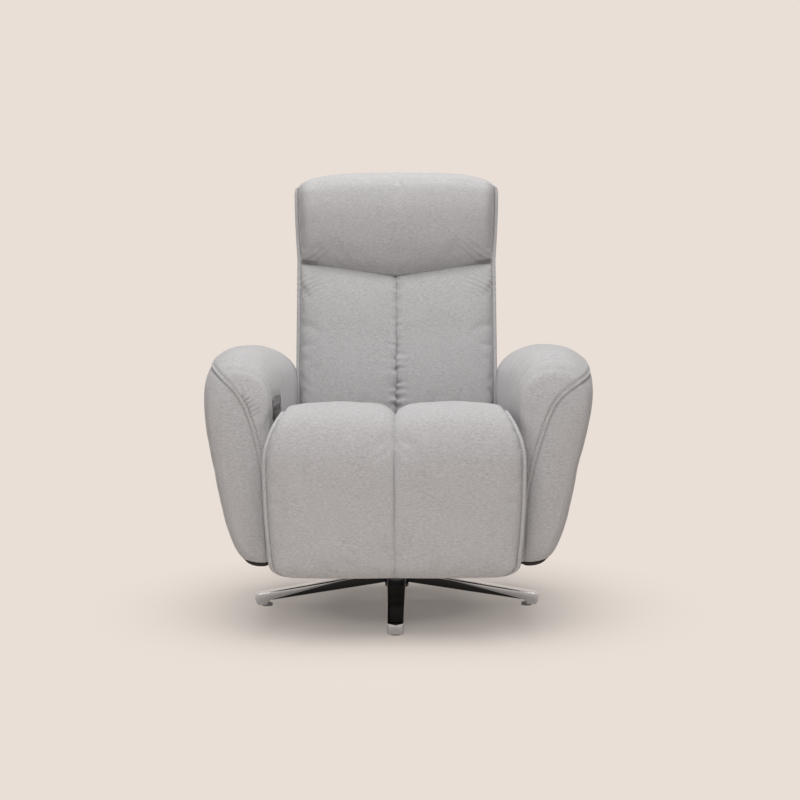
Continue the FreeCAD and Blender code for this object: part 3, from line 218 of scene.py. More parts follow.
def shell_mesh(name: str, rows: np.ndarray) -> bpy.types.Object:
    """Makes a closed mesh from rings of points, with a fan over each end.

    Args:
        name: Name of the piece.
        rows: Points in millimetres, as rings along the piece.

    Returns:
        The new object, smooth shaded.
    """
    count, ring = rows.shape[:2]
    ends = np.array([rows[0].mean(axis=0), rows[-1].mean(axis=0)])
    points = np.concatenate([rows.reshape(-1, 3), ends]) * MM
    faces = []
    for i in range(count - 1):
        for j in range(ring):
            k = (j + 1) % ring
            faces.append((i * ring + j, i * ring + k, (i + 1) * ring + k, (i + 1) * ring + j))
    first, last = count * ring, count * ring + 1
    for j in range(ring):
        k = (j + 1) % ring
        faces.append((first, k, j))
        faces.append((last, (count - 1) * ring + j, (count - 1) * ring + k))
    mesh = bpy.data.meshes.new(name)
    mesh.from_pydata(points.tolist(), [], faces)
    mesh.validate()
    tool = bmesh.new()
    tool.from_mesh(mesh)
    bmesh.ops.recalc_face_normals(tool, faces=tool.faces)
    tool.to_mesh(mesh)
    tool.free()
    mesh.shade_smooth()
    return placed(name, mesh)


@dataclass(frozen=True)
class Stuffing:
    """How a sewn cover swells over its filling when it is simulated as cloth.

    The movement is capped and then parted: the broad swelling is mostly taken back, because the
    sections hold it already, and the finer folds are kept.
    """

    quality: int = 6
    mass: float = 0.3
    stretch_stiffness: float = 12.0
    shear_stiffness: float = 4.0
    pressure: float = 4.0
    slack: float = 0.015
    bending: float = 0.6
    frames: int = 20
    limit: float = 16.0
    kept_swell: float = 0.1
    fold_gain: float = 0.55
    blur_passes: int = 14

    def swell(self, rows: np.ndarray, pinned: np.ndarray) -> np.ndarray:
        """Blows up a closed shell whose seams are held.

        Args:
            rows: The shell's rings of points in millimetres.
            pinned: For each point, 1 where a seam or a frame holds it and 0 where it is free.

        Returns:
            How far each point moves, in millimetres.
        """
        piece = shell_mesh("cover_blank", rows)
        count = rows.shape[0] * rows.shape[1]
        held = piece.vertex_groups.new(name="held")
        for index in np.flatnonzero(pinned.ravel() > 0):
            held.add([int(index)], float(pinned.ravel()[index]), "REPLACE")
        held.add([count, count + 1], 1.0, "REPLACE")
        cloth = piece.modifiers.new("Cloth", "CLOTH")
        for setting, value in {
                "quality": self.quality, "mass": self.mass, "tension_stiffness": self.stretch_stiffness,
                "compression_stiffness": self.stretch_stiffness, "shear_stiffness": self.shear_stiffness,
                "bending_stiffness": self.bending, "shrink_min": -self.slack, "use_pressure": True,
                "uniform_pressure_force": self.pressure, "vertex_group_mass": "held"}.items():
            setattr(cloth.settings, setting, value)
        cloth.settings.effector_weights.gravity = 0
        cloth.point_cache.frame_start = 1
        cloth.point_cache.frame_end = self.frames
        scene = bpy.context.scene
        for step in range(1, self.frames + 1):
            scene.frame_set(step)
        final = piece.evaluated_get(bpy.context.evaluated_depsgraph_get()).to_mesh()
        moved = np.zeros(len(final.vertices) * 3)
        final.vertices.foreach_get("co", moved)
        moved = moved.reshape(-1, 3)[:count].reshape(rows.shape) / MM - rows
        bpy.data.objects.remove(piece)
        scene.frame_set(1)
        reach = np.linalg.norm(moved, axis=2, keepdims=True)
        moved = moved * np.minimum(1, self.limit / np.maximum(reach, 1e-6))
        swelling = moved
        for _ in range(self.blur_passes):
            padded = np.concatenate([swelling[:1], swelling, swelling[-1:]])
            swelling = (padded[:-2] + 2 * swelling + padded[2:]) / 4
            swelling = (np.roll(swelling, 1, 1) + 2 * swelling + np.roll(swelling, -1, 1)) / 4
        return self.kept_swell * swelling + self.fold_gain * (moved - swelling)


def outward(rings: np.ndarray) -> np.ndarray:
    """Finds the normals of rings of points.

    Args:
        rings: Points, as rings along a form.

    Returns:
        A unit normal for each point, away from the middle of the form.
    """
    normal = np.cross(np.gradient(rings, axis=0), np.roll(rings, -1, 1) - np.roll(rings, 1, 1))
    normal /= np.maximum(np.linalg.norm(normal, axis=2, keepdims=True), 1e-6)
    middle = rings.mean(axis=1, keepdims=True)
    return normal if np.mean(np.sum(normal * (rings - middle), axis=2)) > 0 else -normal


@dataclass(frozen=True)
class Folds:
    """A patch of parallel folds in the cover: where it lies, which way it runs and how big it is."""

    centre: tuple[float, float, float]
    across: tuple[float, float, float]
    spread: float
    reach: float
    period: float
    depth: float
    wander: float = 0.18

    def push(self, points: np.ndarray) -> np.ndarray:
        """Finds how far each point moves along its normal.

        Args:
            points: Points in millimetres, with X, Y and Z on the last axis.

        Returns:
            One distance for each point.
        """
        way = np.array(self.across) / np.linalg.norm(self.across)
        gap = points - np.array(self.centre)
        over = gap @ way
        beside = np.linalg.norm(gap - over[..., None] * way, axis=-1)
        fade = np.exp(-(over / self.spread) ** 2 - (beside / self.reach) ** 2)
        wobble = self.wander * np.sin(beside / 17.0 + over / 23.0)
        return self.depth * fade * np.sin((over / self.period + wobble) * math.tau)


def ripple(places: np.ndarray, period: float, seed: float) -> np.ndarray:
    """Makes even noise from -1 to 1 along a line or over points.

    Args:
        places: Points in millimetres, as rows of three.
        period: Distance over which the noise changes.
        seed: Offset that gives another pattern.

    Returns:
        One value for each point.
    """
    flat = places.reshape(-1, 3) / period + seed
    values = np.array([noise.noise(Vector(p)) for p in flat])
    return values.reshape(places.shape[:-1])


# Finishes


@dataclass(frozen=True)
class Finish:
    """A surface finish that makes its Blender material once.

    Its colour is sRGB hex, and its roughness is that of the smoothest spots.
    """

    name: str
    colour: str
    roughness: float

    def shader(self, tree: bpy.types.NodeTree, surface: bpy.types.Node) -> None:
        """Adds what is special to the finish; the plain one adds nothing.

        Args:
            tree: The material's nodes.
            surface: Its surface node.
        """

    def material(self) -> bpy.types.Material:
        """Makes the material on first use.

        Returns:
            The material.
        """
        made = bpy.data.materials.get(self.name)
        if made:
            return made
        made = bpy.data.materials.new(self.name)
        made.use_nodes = True
        surface = made.node_tree.nodes["Principled BSDF"]
        surface.inputs["Base Color"].default_value = linear(self.colour)
        surface.inputs["Roughness"].default_value = self.roughness
        self.shader(made.node_tree, surface)
        made.diffuse_color = linear(self.colour)
        return made

    def dress(self, piece: bpy.types.Object) -> None:
        """Makes the material the only one of a piece.

        Args:
            piece: The object to dress.
        """
        piece.data.materials.clear()
        piece.data.materials.append(self.material())


def object_pattern(tree: bpy.types.NodeTree, sizes: tuple[float, float, float], detail: float = 2.0,
                   roughness: float = 0.5) -> bpy.types.NodeSocket:
    """Adds noise whose grains have a size in millimetres along X, Y and Z.

    Args:
        tree: The node tree.
        sizes: Grain size along each axis.
        detail: Octaves of finer noise.
        roughness: How strong the finer octaves are.

    Returns:
        The noise's value socket.
    """
    place = add_node(tree, "ShaderNodeTexCoord")
    scale = tuple(1 / (size * MM) for size in sizes)
    stretched = add_node(tree, "ShaderNodeMapping", {"Scale": scale}, {"Vector": place.outputs["Object"]})
    grain = add_node(tree, "ShaderNodeTexNoise", {"Scale": 1.0, "Detail": detail, "Roughness": roughness},
                     {"Vector": stretched.outputs[0]})
    return grain.outputs[0]


def spread(tree: bpy.types.NodeTree, value: bpy.types.NodeSocket, low: float, high: float,
           to_low: float = 0.0, to_high: float = 1.0) -> bpy.types.NodeSocket:
    """Stretches the part of a value between two limits over a new range, and clamps it.

    Args:
        tree: The node tree.
        value: The value's socket.
        low: Lower limit.
        high: Upper limit.
        to_low: What the lower limit becomes.
        to_high: What the upper limit becomes.

    Returns:
        The new value's socket.
    """
    settings = {"From Min": low, "From Max": high, "To Min": to_low, "To Max": to_high}
    return add_node(tree, "ShaderNodeMapRange", settings, {"Value": value}).outputs[0]


def blended(tree: bpy.types.NodeTree, share: bpy.types.NodeSocket, first: str | bpy.types.NodeSocket,
            second: str | bpy.types.NodeSocket) -> bpy.types.NodeSocket:
    """Mixes two colours by a share.

    Args:
        tree: The node tree.
        share: Share of the second colour.
        first: Hex colour or socket.
        second: Hex colour or socket.

    Returns:
        The mixed colour's socket.
    """
    settings, links = {"data_type": "RGBA"}, {0: share}
    for index, colour in ((6, first), (7, second)):
        if isinstance(colour, str):
            settings[index] = linear(colour)
        else:
            links[index] = colour
    return add_node(tree, "ShaderNodeMix", settings, links).outputs[2]


def raised(tree: bpy.types.NodeTree, surface: bpy.types.Node, height: bpy.types.NodeSocket, strength: float,
           depth: float) -> None:
    """Lets a pattern stand out of the surface.

    Args:
        tree: The node tree.
        surface: The surface node.
        height: The pattern's socket.
        strength: Strength of the bump.
        depth: Height of the pattern in millimetres.
    """
    bump = add_node(tree, "ShaderNodeBump", {"Strength": strength, "Distance": depth * MM}, {"Height": height})
    tree.links.new(bump.outputs[0], surface.inputs["Normal"])


@dataclass(frozen=True)
class Chenille(Finish):
    """Woven polyester chenille: short cut pile in warm grey, with slub yarns that lie across the chair.

    The cut pile scatters light, so it is matt with a soft sheen at grazing angles. Yarns of about
    1 mm are drawn twice as coarse, because they are too fine to show in the render.
    """

    pale: str = "bbb9b9"
    dark: str = "9f9c9d"
    slub_length: float = 7.0
    yarn: float = 1.7
    cloud: float = 46.0

    def shader(self, tree: bpy.types.NodeTree, surface: bpy.types.Node) -> None:
        """Adds the heathered colour, the slubs and the pile.

        Args:
            tree: The material's nodes.
            surface: Its surface node.
        """
        slubs = object_pattern(tree, (self.slub_length, self.yarn, self.yarn), 3.0, 0.62)
        clouds = object_pattern(tree, (self.cloud,) * 3, 2.0)
        pile = object_pattern(tree, (self.yarn / 2,) * 3, 1.0)
        heather = blended(tree, spread(tree, slubs, 0.36, 0.66), self.dark, self.pale)
        soft = blended(tree, spread(tree, clouds, 0.3, 0.7, 0.0, 0.45), heather, self.colour)
        tree.links.new(soft, surface.inputs["Base Color"])
        height = add_node(tree, "ShaderNodeMath", {"operation": "ADD"}, {0: slubs, 1: pile}).outputs[0]
        raised(tree, surface, height, 0.3, 0.35)
        surface.inputs["Sheen Weight"].default_value = 0.22
        surface.inputs["Sheen Roughness"].default_value = 0.45
        surface.inputs["Specular IOR Level"].default_value = 0.25


@dataclass(frozen=True)
class Metal(Finish):
    """Bare or plated metal: a mirror, blurred unevenly by the streaks of its making and by wear."""

    streak: tuple[float, float, float] = (30.0, 30.0, 30.0)
    wear: float = 0.06

    def shader(self, tree: bpy.types.NodeTree, surface: bpy.types.Node) -> None:
        """Makes the surface metallic, with uneven roughness.

        Args:
            tree: The material's nodes.
            surface: Its surface node.
        """
        surface.inputs["Metallic"].default_value = 1.0
        grain = object_pattern(tree, self.streak, 3.0)
        rough = spread(tree, grain, 0.3, 0.7, self.roughness, self.roughness + self.wear)
        tree.links.new(rough, surface.inputs["Roughness"])


@dataclass(frozen=True)
class Moulded(Finish):
    """Moulded, coated or bonded plastic, with the fine pebble of its tool, powder or fibres."""

    pebble: float = 1.2
    depth: float = 0.05
    specular: float = 0.5

    def shader(self, tree: bpy.types.NodeTree, surface: bpy.types.Node) -> None:
        """Adds the pebble and its uneven gloss.

        Args:
            tree: The material's nodes.
            surface: Its surface node.
        """
        grain = object_pattern(tree, (self.pebble,) * 3, 2.0)
        raised(tree, surface, grain, 0.3, self.depth)
        tree.links.new(spread(tree, grain, 0.3, 0.7, self.roughness, self.roughness + 0.08),
                       surface.inputs["Roughness"])
        surface.inputs["Specular IOR Level"].default_value = self.specular


@dataclass(frozen=True)
class Plywood(Finish):
    """Birch plywood, peeled, glued and sanded: a dull face with long grain in two tones."""

    dark: str = "a98458"
    grain_length: float = 120.0
    grain_width: float = 3.0

    def shader(self, tree: bpy.types.NodeTree, surface: bpy.types.Node) -> None:
        """Adds the grain's tones and its relief.

        Args:
            tree: The material's nodes.
            surface: Its surface node.
        """
        grain = object_pattern(tree, (self.grain_length, self.grain_width, self.grain_width), 4.0, 0.6)
        tree.links.new(blended(tree, spread(tree, grain, 0.35, 0.65), self.dark, self.colour),
                       surface.inputs["Base Color"])
        raised(tree, surface, grain, 0.2, 0.1)


@dataclass(frozen=True)
class Webbing(Finish):
    """Woven polypropylene webbing with elastic warp: coarse ribs across its width."""

    rib: float = 3.0
    dark: str = "1d1c1b"

    def shader(self, tree: bpy.types.NodeTree, surface: bpy.types.Node) -> None:
        """Adds the ribs' tones and their relief.

        Args:
            tree: The material's nodes.
            surface: Its surface node.
        """
        place = add_node(tree, "ShaderNodeTexCoord")
        scale = {"Scale": 1 / (self.rib * MM) / math.tau * 2, "Distortion": 1.5, "bands_direction": "X"}
        ribs = add_node(tree, "ShaderNodeTexWave", scale, {"Vector": place.outputs["Object"]}).outputs[1]
        tree.links.new(blended(tree, ribs, self.dark, self.colour), surface.inputs["Base Color"])
        raised(tree, surface, ribs, 0.5, 0.5)


# The cover: warm grey polyester chenille, woven and brushed, so matt and slightly heathered.
FABRIC = Chenille("chenille_warm_grey", "b0aeae", 0.92)
# Thick twisted polyester sewing thread: smoother than the cover, so each stitch reads as a paler dash.
THREAD = Chenille("polyester_thread_grey", "bcbbbc", 0.7, "c4c3c4", "aeadae", 4.0, 0.8, 20.0)
# Die-cast aluminium, ground and buffed: a soft mirror that takes the tones of the floor and the lamps.
CAST_ALUMINIUM = Metal("buffed_cast_aluminium", "c2c3c6", 0.15)
# Glass-filled nylon from a polished tool: black with sharp highlights.
GLOSS_NYLON = Moulded("moulded_black_nylon", "0f0f10", 0.22)
# Hardened chrome steel, ground: bright and even.
BEARING_STEEL = Metal("ground_bearing_steel", "b9babd", 0.16)
# Brass strip, stamped and tumbled: warm and a little dull.
BRASS = Metal("stamped_brass", "c9a24f", 0.28)
# Steel, zinc plated in a barrel: cool grey, cloudy in small patches.
ZINC = Metal("zinc_plated_steel", "b4b6b5", 0.3, (4.0, 4.0, 4.0), 0.15)
# Steel, welded and powder coated in black: a fine orange peel that blurs its highlights.
BLACK_STEEL = Moulded("powder_coated_steel", "17181a", 0.42, 0.8, 0.08)
# Drawn aluminium tube, clear anodised: satin, with streaks along its length.
ANODISED = Metal("anodised_aluminium", "9fa2a6", 0.32, (0.6, 60.0, 0.6))
# Birch plywood, sanded and left bare inside the arms: pale with long brown grain.
PLYWOOD = Plywood("birch_plywood", "cfae7d", 0.6)
# The same plywood stained black, so that it doesn't show between the pads.
STAINED_PLYWOOD = Plywood("black_stained_plywood", "2c2a28", 0.6, "1e1c1b")
# Polypropylene webbing woven with a rubber warp: dark and ribbed.
BLACK_WEBBING = Webbing("elastic_webbing", "2c2b2a", 0.8)
# Plastic trim, plated with smoked chrome: a dark, even mirror.
SMOKED_CHROME = Metal("smoked_chrome_trim", "8d8e91", 0.14)
# ABS moulded in grey from a spark-eroded tool: satin.
SATIN_ABS = Moulded("satin_grey_abs", "747472", 0.4)
# Nylon moulded in grey: waxy, with a soft highlight.
GREY_NYLON = Moulded("moulded_grey_nylon", "8f8e8d", 0.4)
# ABS moulded in dark grey: a little glossier than the plate round it.
BUTTON_ABS = Moulded("button_grey_abs", "454545", 0.34)
# Painted shade: a dull, dark finish on the faces of each arm below its bottom seam, which stands in for the shade
# beneath the arm.
UNDERSIDE_PAINTED_SHADE = Moulded("painted_underside_shade", "302d2c", 0.85, 1.0, 0.1, 0.2)

NODE_FINISHES = {
    CAST_ALUMINIUM: ("base_star",),
    GLOSS_NYLON: ("leg_webs", "power_gland", "power_box", "switch_box"),
    GREY_NYLON: ("foot_glides",),
    BEARING_STEEL: ("swivel_spindle", "lower_race", "upper_race", "bearing_balls", "legrest_pins",
                    "back_hinge_pins", "motor_tail_pins", "leg_motor_rod", "back_motor_rod"),
    BRASS: ("bearing_cage", "back_hinge_washers"),
    ZINC: ("spindle_bolt", "spindle_lock_nut", "swivel_bolts", "arm_bolts"),
    BLACK_STEEL: ("swivel_plate", "side_rails", "cross_tubes", "side_plate_right", "side_plate_left",
                  "legrest_brackets", "leg_motor_bracket", "back_motor_bracket", "back_stile_right",
                  "back_stile_left", "back_cross_rails", "back_crank", "legrest_arms", "legrest_crank",
                  "leg_motor_housing", "back_motor_housing"),
    ANODISED: ("leg_motor_tube", "back_motor_tube"),
    PLYWOOD: ("arm_board_right", "arm_board_left"),
    STAINED_PLYWOOD: ("seat_side_rails", "front_board", "rear_seat_rail", "legrest_board"),
    FABRIC: ("rear_panel",),
    BLACK_WEBBING: ("seat_webbing", "back_webbing"),
    SATIN_ABS: ("control_plate",),
    BUTTON_ABS: ("button_1", "button_2", "button_3", "button_4"),
}


# Soft forms


class Segment(Enum):
    """Stretches of a pad's half section, with their number of coarse steps."""

    BACK = 7
    WALL = 4
    LIP = 3
    SHOULDER = 5
    LOBE = 15
    CREASE = 3


@dataclass
class PadRow:
    """One section of a pad: where its heights are measured from and which way, and its sizes.

    The rise and its power lift the section's ends, along the pad, in the direction of the lift.
    """

    origin: tuple[float, float]
    direction: tuple[float, float]
    half_width: float
    back: float
    face: float
    seam: float
    crease: float = 0.0
    crease_half_width: float = 22.0
    gather: float = 0.0
    rise: float = 0.0
    bow: float = 1.0
    lift: tuple[float, float] = (0.0, 0.0)


@dataclass
class Pad:
    """A stuffed pad on a swept path: crowned face, centre crease, round shoulders and a sewn lip.

    The lip is the doubled seam allowance that stands out along both sides, with a stitched groove
    behind it. Its table gives distances outward and upward from the corner of the section.
    """

    crown: float = 5.0
    draw: float = 6.0
    round_off: float = 28.0
    full_height: float = 30.0
    wall_bulge: float = 9.0
    lip_end: tuple[float, float] = (8.8, 3.4)
    shoulder_width: float = 1.15
    shoulder_power: float = 0.84
    crease_power: float = 1.6
    lip: Pairs = ((-2.0, -6.0), (0.8, -4.4), (2.6, -1.6), (2.0, 1.4), (-1.2, 2.9), (-4.2, 2.9), (-5.8, 1.2),
                  (-7.0, -1.8), (-8.2, -0.6))
    steps: int = 3
    thread_rise: float = 1.8
    gather_reach: float = 15.0
    gather_period: float = 10.0
    gather_contrast: float = 2.4
    pucker: float = 1.1
    pucker_period: float = 4.6
    pucker_reach: float = 3.2
    folds: tuple[Folds, ...] = ()
    stuffing: Stuffing = field(default_factory=Stuffing)

    def half_section(self, row: PadRow) -> np.ndarray:
        """Draws the half section of a row, from the middle of its back to the middle of its face.

        Args:
            row: Sizes of the section.

        Returns:
            Distances across and heights, as rows of two.
        """
        counts = {segment: segment.value * self.steps for segment in Segment}
        width, back, face, seam = row.half_width, row.back, row.face, row.seam
        scale = min(1.0, max(0.05, (face - back) / self.full_height))
        lip = np.array(self.lip) * scale + (width, seam)
        across, height = [], []

        def add(segment: Segment, x: Callable, y: Callable) -> None:
            """Adds a segment from its curves over a share of 0 to 1."""
            share = np.arange(counts[segment]) / counts[segment]
            across.append(x(share))
            height.append(y(share))

        foot = width - self.draw
        add(Segment.BACK, lambda t: foot * t, lambda t: back + 0 * t)
        add(Segment.WALL, lambda t: mix(foot, lip[0, 0], t) + self.wall_bulge * scale * t * (1 - t),
            lambda t: mix(back, lip[0, 1], t))
        across.append(lip[:, 0])
        height.append(lip[:, 1])
        start = (width - self.lip_end[0] * scale, seam + self.lip_end[1] * scale)
        top = face - self.crown * scale
        inner = start[0] - self.shoulder_width * min(self.round_off, max(face - seam, 4.0))
        add(Segment.SHOULDER, lambda t: mix(inner, start[0], np.cos(t * np.pi / 2) ** self.shoulder_power),
            lambda t: mix(start[1], top, np.sin(t * np.pi / 2) ** self.shoulder_power))
        valley = row.crease_half_width
        near = lambda t: (1 - t) ** self.crease_power
        if row.crease:
            add(Segment.LOBE, lambda t: mix(inner, valley, t),
                lambda t: top + self.crown * scale * (1 - (2 * t - 1) ** 2))
            add(Segment.CREASE, lambda t: valley * near(t),
                lambda t: top - row.crease * (1 - np.sqrt(1 - (1 - near(t)) ** 2)))
            middle = top - row.crease
        else:
            swelled = lambda x: top + self.crown * scale * (1 - (x / inner) ** 2)
            add(Segment.LOBE, lambda t: mix(inner, valley, t), lambda t: swelled(mix(inner, valley, t)))
            add(Segment.CREASE, lambda t: valley * (1 - t), lambda t: swelled(valley * (1 - t)))
            middle = swelled(0.0)
        points = np.stack([np.concatenate(across), np.concatenate(height)], axis=1)
        return np.concatenate([points, [[0.0, middle]]])

    def rows(self, sections: list[PadRow]) -> np.ndarray:
        """Sets the sections in space.

        Args:
            sections: The sections, from one end of the pad to the other.

        Returns:
            Points in millimetres, one ring for each section.
        """
        rings = []
        for row in sections:
            ring = mirrored(self.half_section(row))
            along = row.rise * row.half_width * (np.abs(ring[:, 0]) / row.half_width) ** row.bow
            y = row.origin[0] + row.direction[0] * ring[:, 1] + row.lift[0] * along
            z = row.origin[1] + row.direction[1] * ring[:, 1] + row.lift[1] * along
            rings.append(np.stack([ring[:, 0], y, z], axis=1))
        return np.array(rings)

    def columns(self) -> dict[Segment, tuple[int, int]]:
        """Finds the columns of each segment in the right half of a ring.

        Returns:
            First column of each segment, and that of the next one.
        """
        found, start = {}, 0
        for segment in Segment:
            end = start + segment.value * self.steps
            found[segment] = (start, end)
            start = end
        return found

    def sewn(self, sections: list[PadRow], held_ends: tuple[int, int] = (1, 1)) -> np.ndarray:
        """Swells the pad with its seams held, and gathers the cover along them.

        Args:
            sections: The sections, as many as a multiple of the steps and one more.
            held_ends: Coarse rings that are held at each end.

        Returns:
            The pad's rings of points.
        """
        fine = self.rows(sections)
        coarse = fine[::self.steps, ::self.steps]
        ring = coarse.shape[1]
        pinned = np.zeros(coarse.shape[:2])
        columns = {s: (a // self.steps, b // self.steps) for s, (a, b) in self.columns().items()}
        spans = [(0, columns[Segment.BACK][1]), columns[Segment.LIP]]
        if sections[len(sections) // 2].crease:
            spans.append((columns[Segment.CREASE][1],) * 2)
        for first, last in spans:
            for column in range(first, last + 1):
                pinned[:, (column, -column % ring)] = 1
        pinned[:held_ends[0]] = 1
        pinned[len(pinned) - held_ends[1]:] = 1
        moved = self.stuffing.swell(coarse, pinned)
        moved = refine(refine(moved, self.steps, False).swapaxes(0, 1), self.steps, True).swapaxes(0, 1)
        return self.gathered(fine + moved, sections)

    def gathered(self, fine: np.ndarray, sections: list[PadRow]) -> np.ndarray:
        """Gathers the cover along its lips and its crease, and adds the folds.

        Args:
            fine: The pad's rings of points.
            sections: The sections they were made from.

        Returns:
            The gathered rings.
        """
        ring = fine.shape[1]
        normal = outward(fine)
        run = travelled(fine[:, ring // 2])
        amount = np.array([row.gather for row in sections])
        columns = self.columns()
        lip, lobe = columns[Segment.LIP], columns[Segment.LOBE]
        push = np.zeros(fine.shape[:2])
        for side, seed in ((1, 3.1), (-1, 8.7)):
            line = np.stack([np.full_like(run, seed), run, np.zeros_like(run)], axis=1)
            tight = np.clip(self.gather_contrast * ripple(line, self.gather_period, seed), -1, 1)
            sewn = ripple(line, self.pucker_period, seed + 5)
            for column in range(1, ring // 2 + 1):
                place = column if side > 0 else ring - column
                if column >= lobe[0]:
                    near = np.exp(-(np.abs(fine[:, place, 0]) / self.gather_reach) ** 1.5)
                    push[:, place] += amount * tight * near
                elif column >= lip[0]:
                    push[:, place] += self.pucker * sewn * math.exp(-abs(column - lip[1]) / self.pucker_reach)
        for folds in self.folds:
            push += folds.push(fine)
        return fine + normal * push[..., None]

    def groove(self, fine: np.ndarray, side: int) -> tuple[np.ndarray, np.ndarray]:
        """Finds the stitched groove.

        Args:
            fine: The pad's rings of points.
            side: 1 for the groove on the right, -1 for that on the left.

        Returns:
            The line on which the thread lies, and its unit normals.
        """
        column = self.columns()[Segment.LIP][1] - 1
        place = column if side > 0 else fine.shape[1] - column
        up = fine[:, fine.shape[1] // 2] - fine[:, 0]
        up = up / np.linalg.norm(up, axis=1, keepdims=True)
        return fine[:, place] + self.thread_rise * up, up


@dataclass(frozen=True)
class Stitching:
    """A row of lockstitches in thick thread, each a short rounded dash lying in the groove of a seam."""

    pitch: float = 6.8
    length: float = 4.4
    width: float = 1.4
    height: float = 1.1
    sides: int = 6
    girths: Pairs = ((0.0, 0.35), (0.15, 0.9), (0.5, 1.0), (0.85, 0.9), (1.0, 0.35))
    foot: float = 0.3
    arch: float = 0.5

    def dashes(self, line: np.ndarray, normals: np.ndarray) -> tuple[list, list]:
        """Makes the stitches along a line.

        Args:
            line: Points of the seam in millimetres.
            normals: Unit normals of the cover at these points.

        Returns:
            Points in millimetres, and faces by point index.
        """
        run = travelled(line)
        last = len(self.girths) - 1
        points, faces = [], []
        for start in np.arange(self.pitch, run[-1] - self.pitch, self.pitch):
            first = len(points)
            tail, head = (read_along(start + d, run, line) for d in (0, self.length))
            up = read_along(start, run, normals)
            beside = np.cross(up, (head - tail) / max(np.linalg.norm(head - tail), 1e-6))
            for share, girth in self.girths:
                centre = mix(tail, head, share) + up * (self.foot + self.arch * math.sin(share * math.pi))
                for k in range(self.sides):
                    angle = math.tau * k / self.sides
                    points.append(centre + girth * (beside * self.width * math.cos(angle)
                                                    + up * self.height * math.sin(angle)))
            for i in range(last):
                a, b = first + i * self.sides, first + (i + 1) * self.sides
                for k in range(self.sides):
                    n = (k + 1) % self.sides
                    faces.append((a + k, a + n, b + n, b + k))
            faces.append(tuple(first + k for k in reversed(range(self.sides))))
            faces.append(tuple(first + last * self.sides + k for k in range(self.sides)))
        return points, faces

    def sew(self, name: str, lines: list[tuple[np.ndarray, np.ndarray]]) -> bpy.types.Object:
        """Makes one piece of the stitches along several lines.

        Args:
            name: Name of the piece.
            lines: Each line with its normals.

        Returns:
            The piece.
        """
        points, faces = [], []
        for line, normals in lines:
            more, quads = self.dashes(line, normals)
            faces += [tuple(len(points) + i for i in quad) for quad in quads]
            points += more
        mesh = bpy.data.meshes.new(name)
        mesh.from_pydata((np.array(points) * MM).tolist(), [], faces)
        mesh.shade_smooth()
        piece = placed(name, mesh)
        THREAD.dress(piece)
        return piece


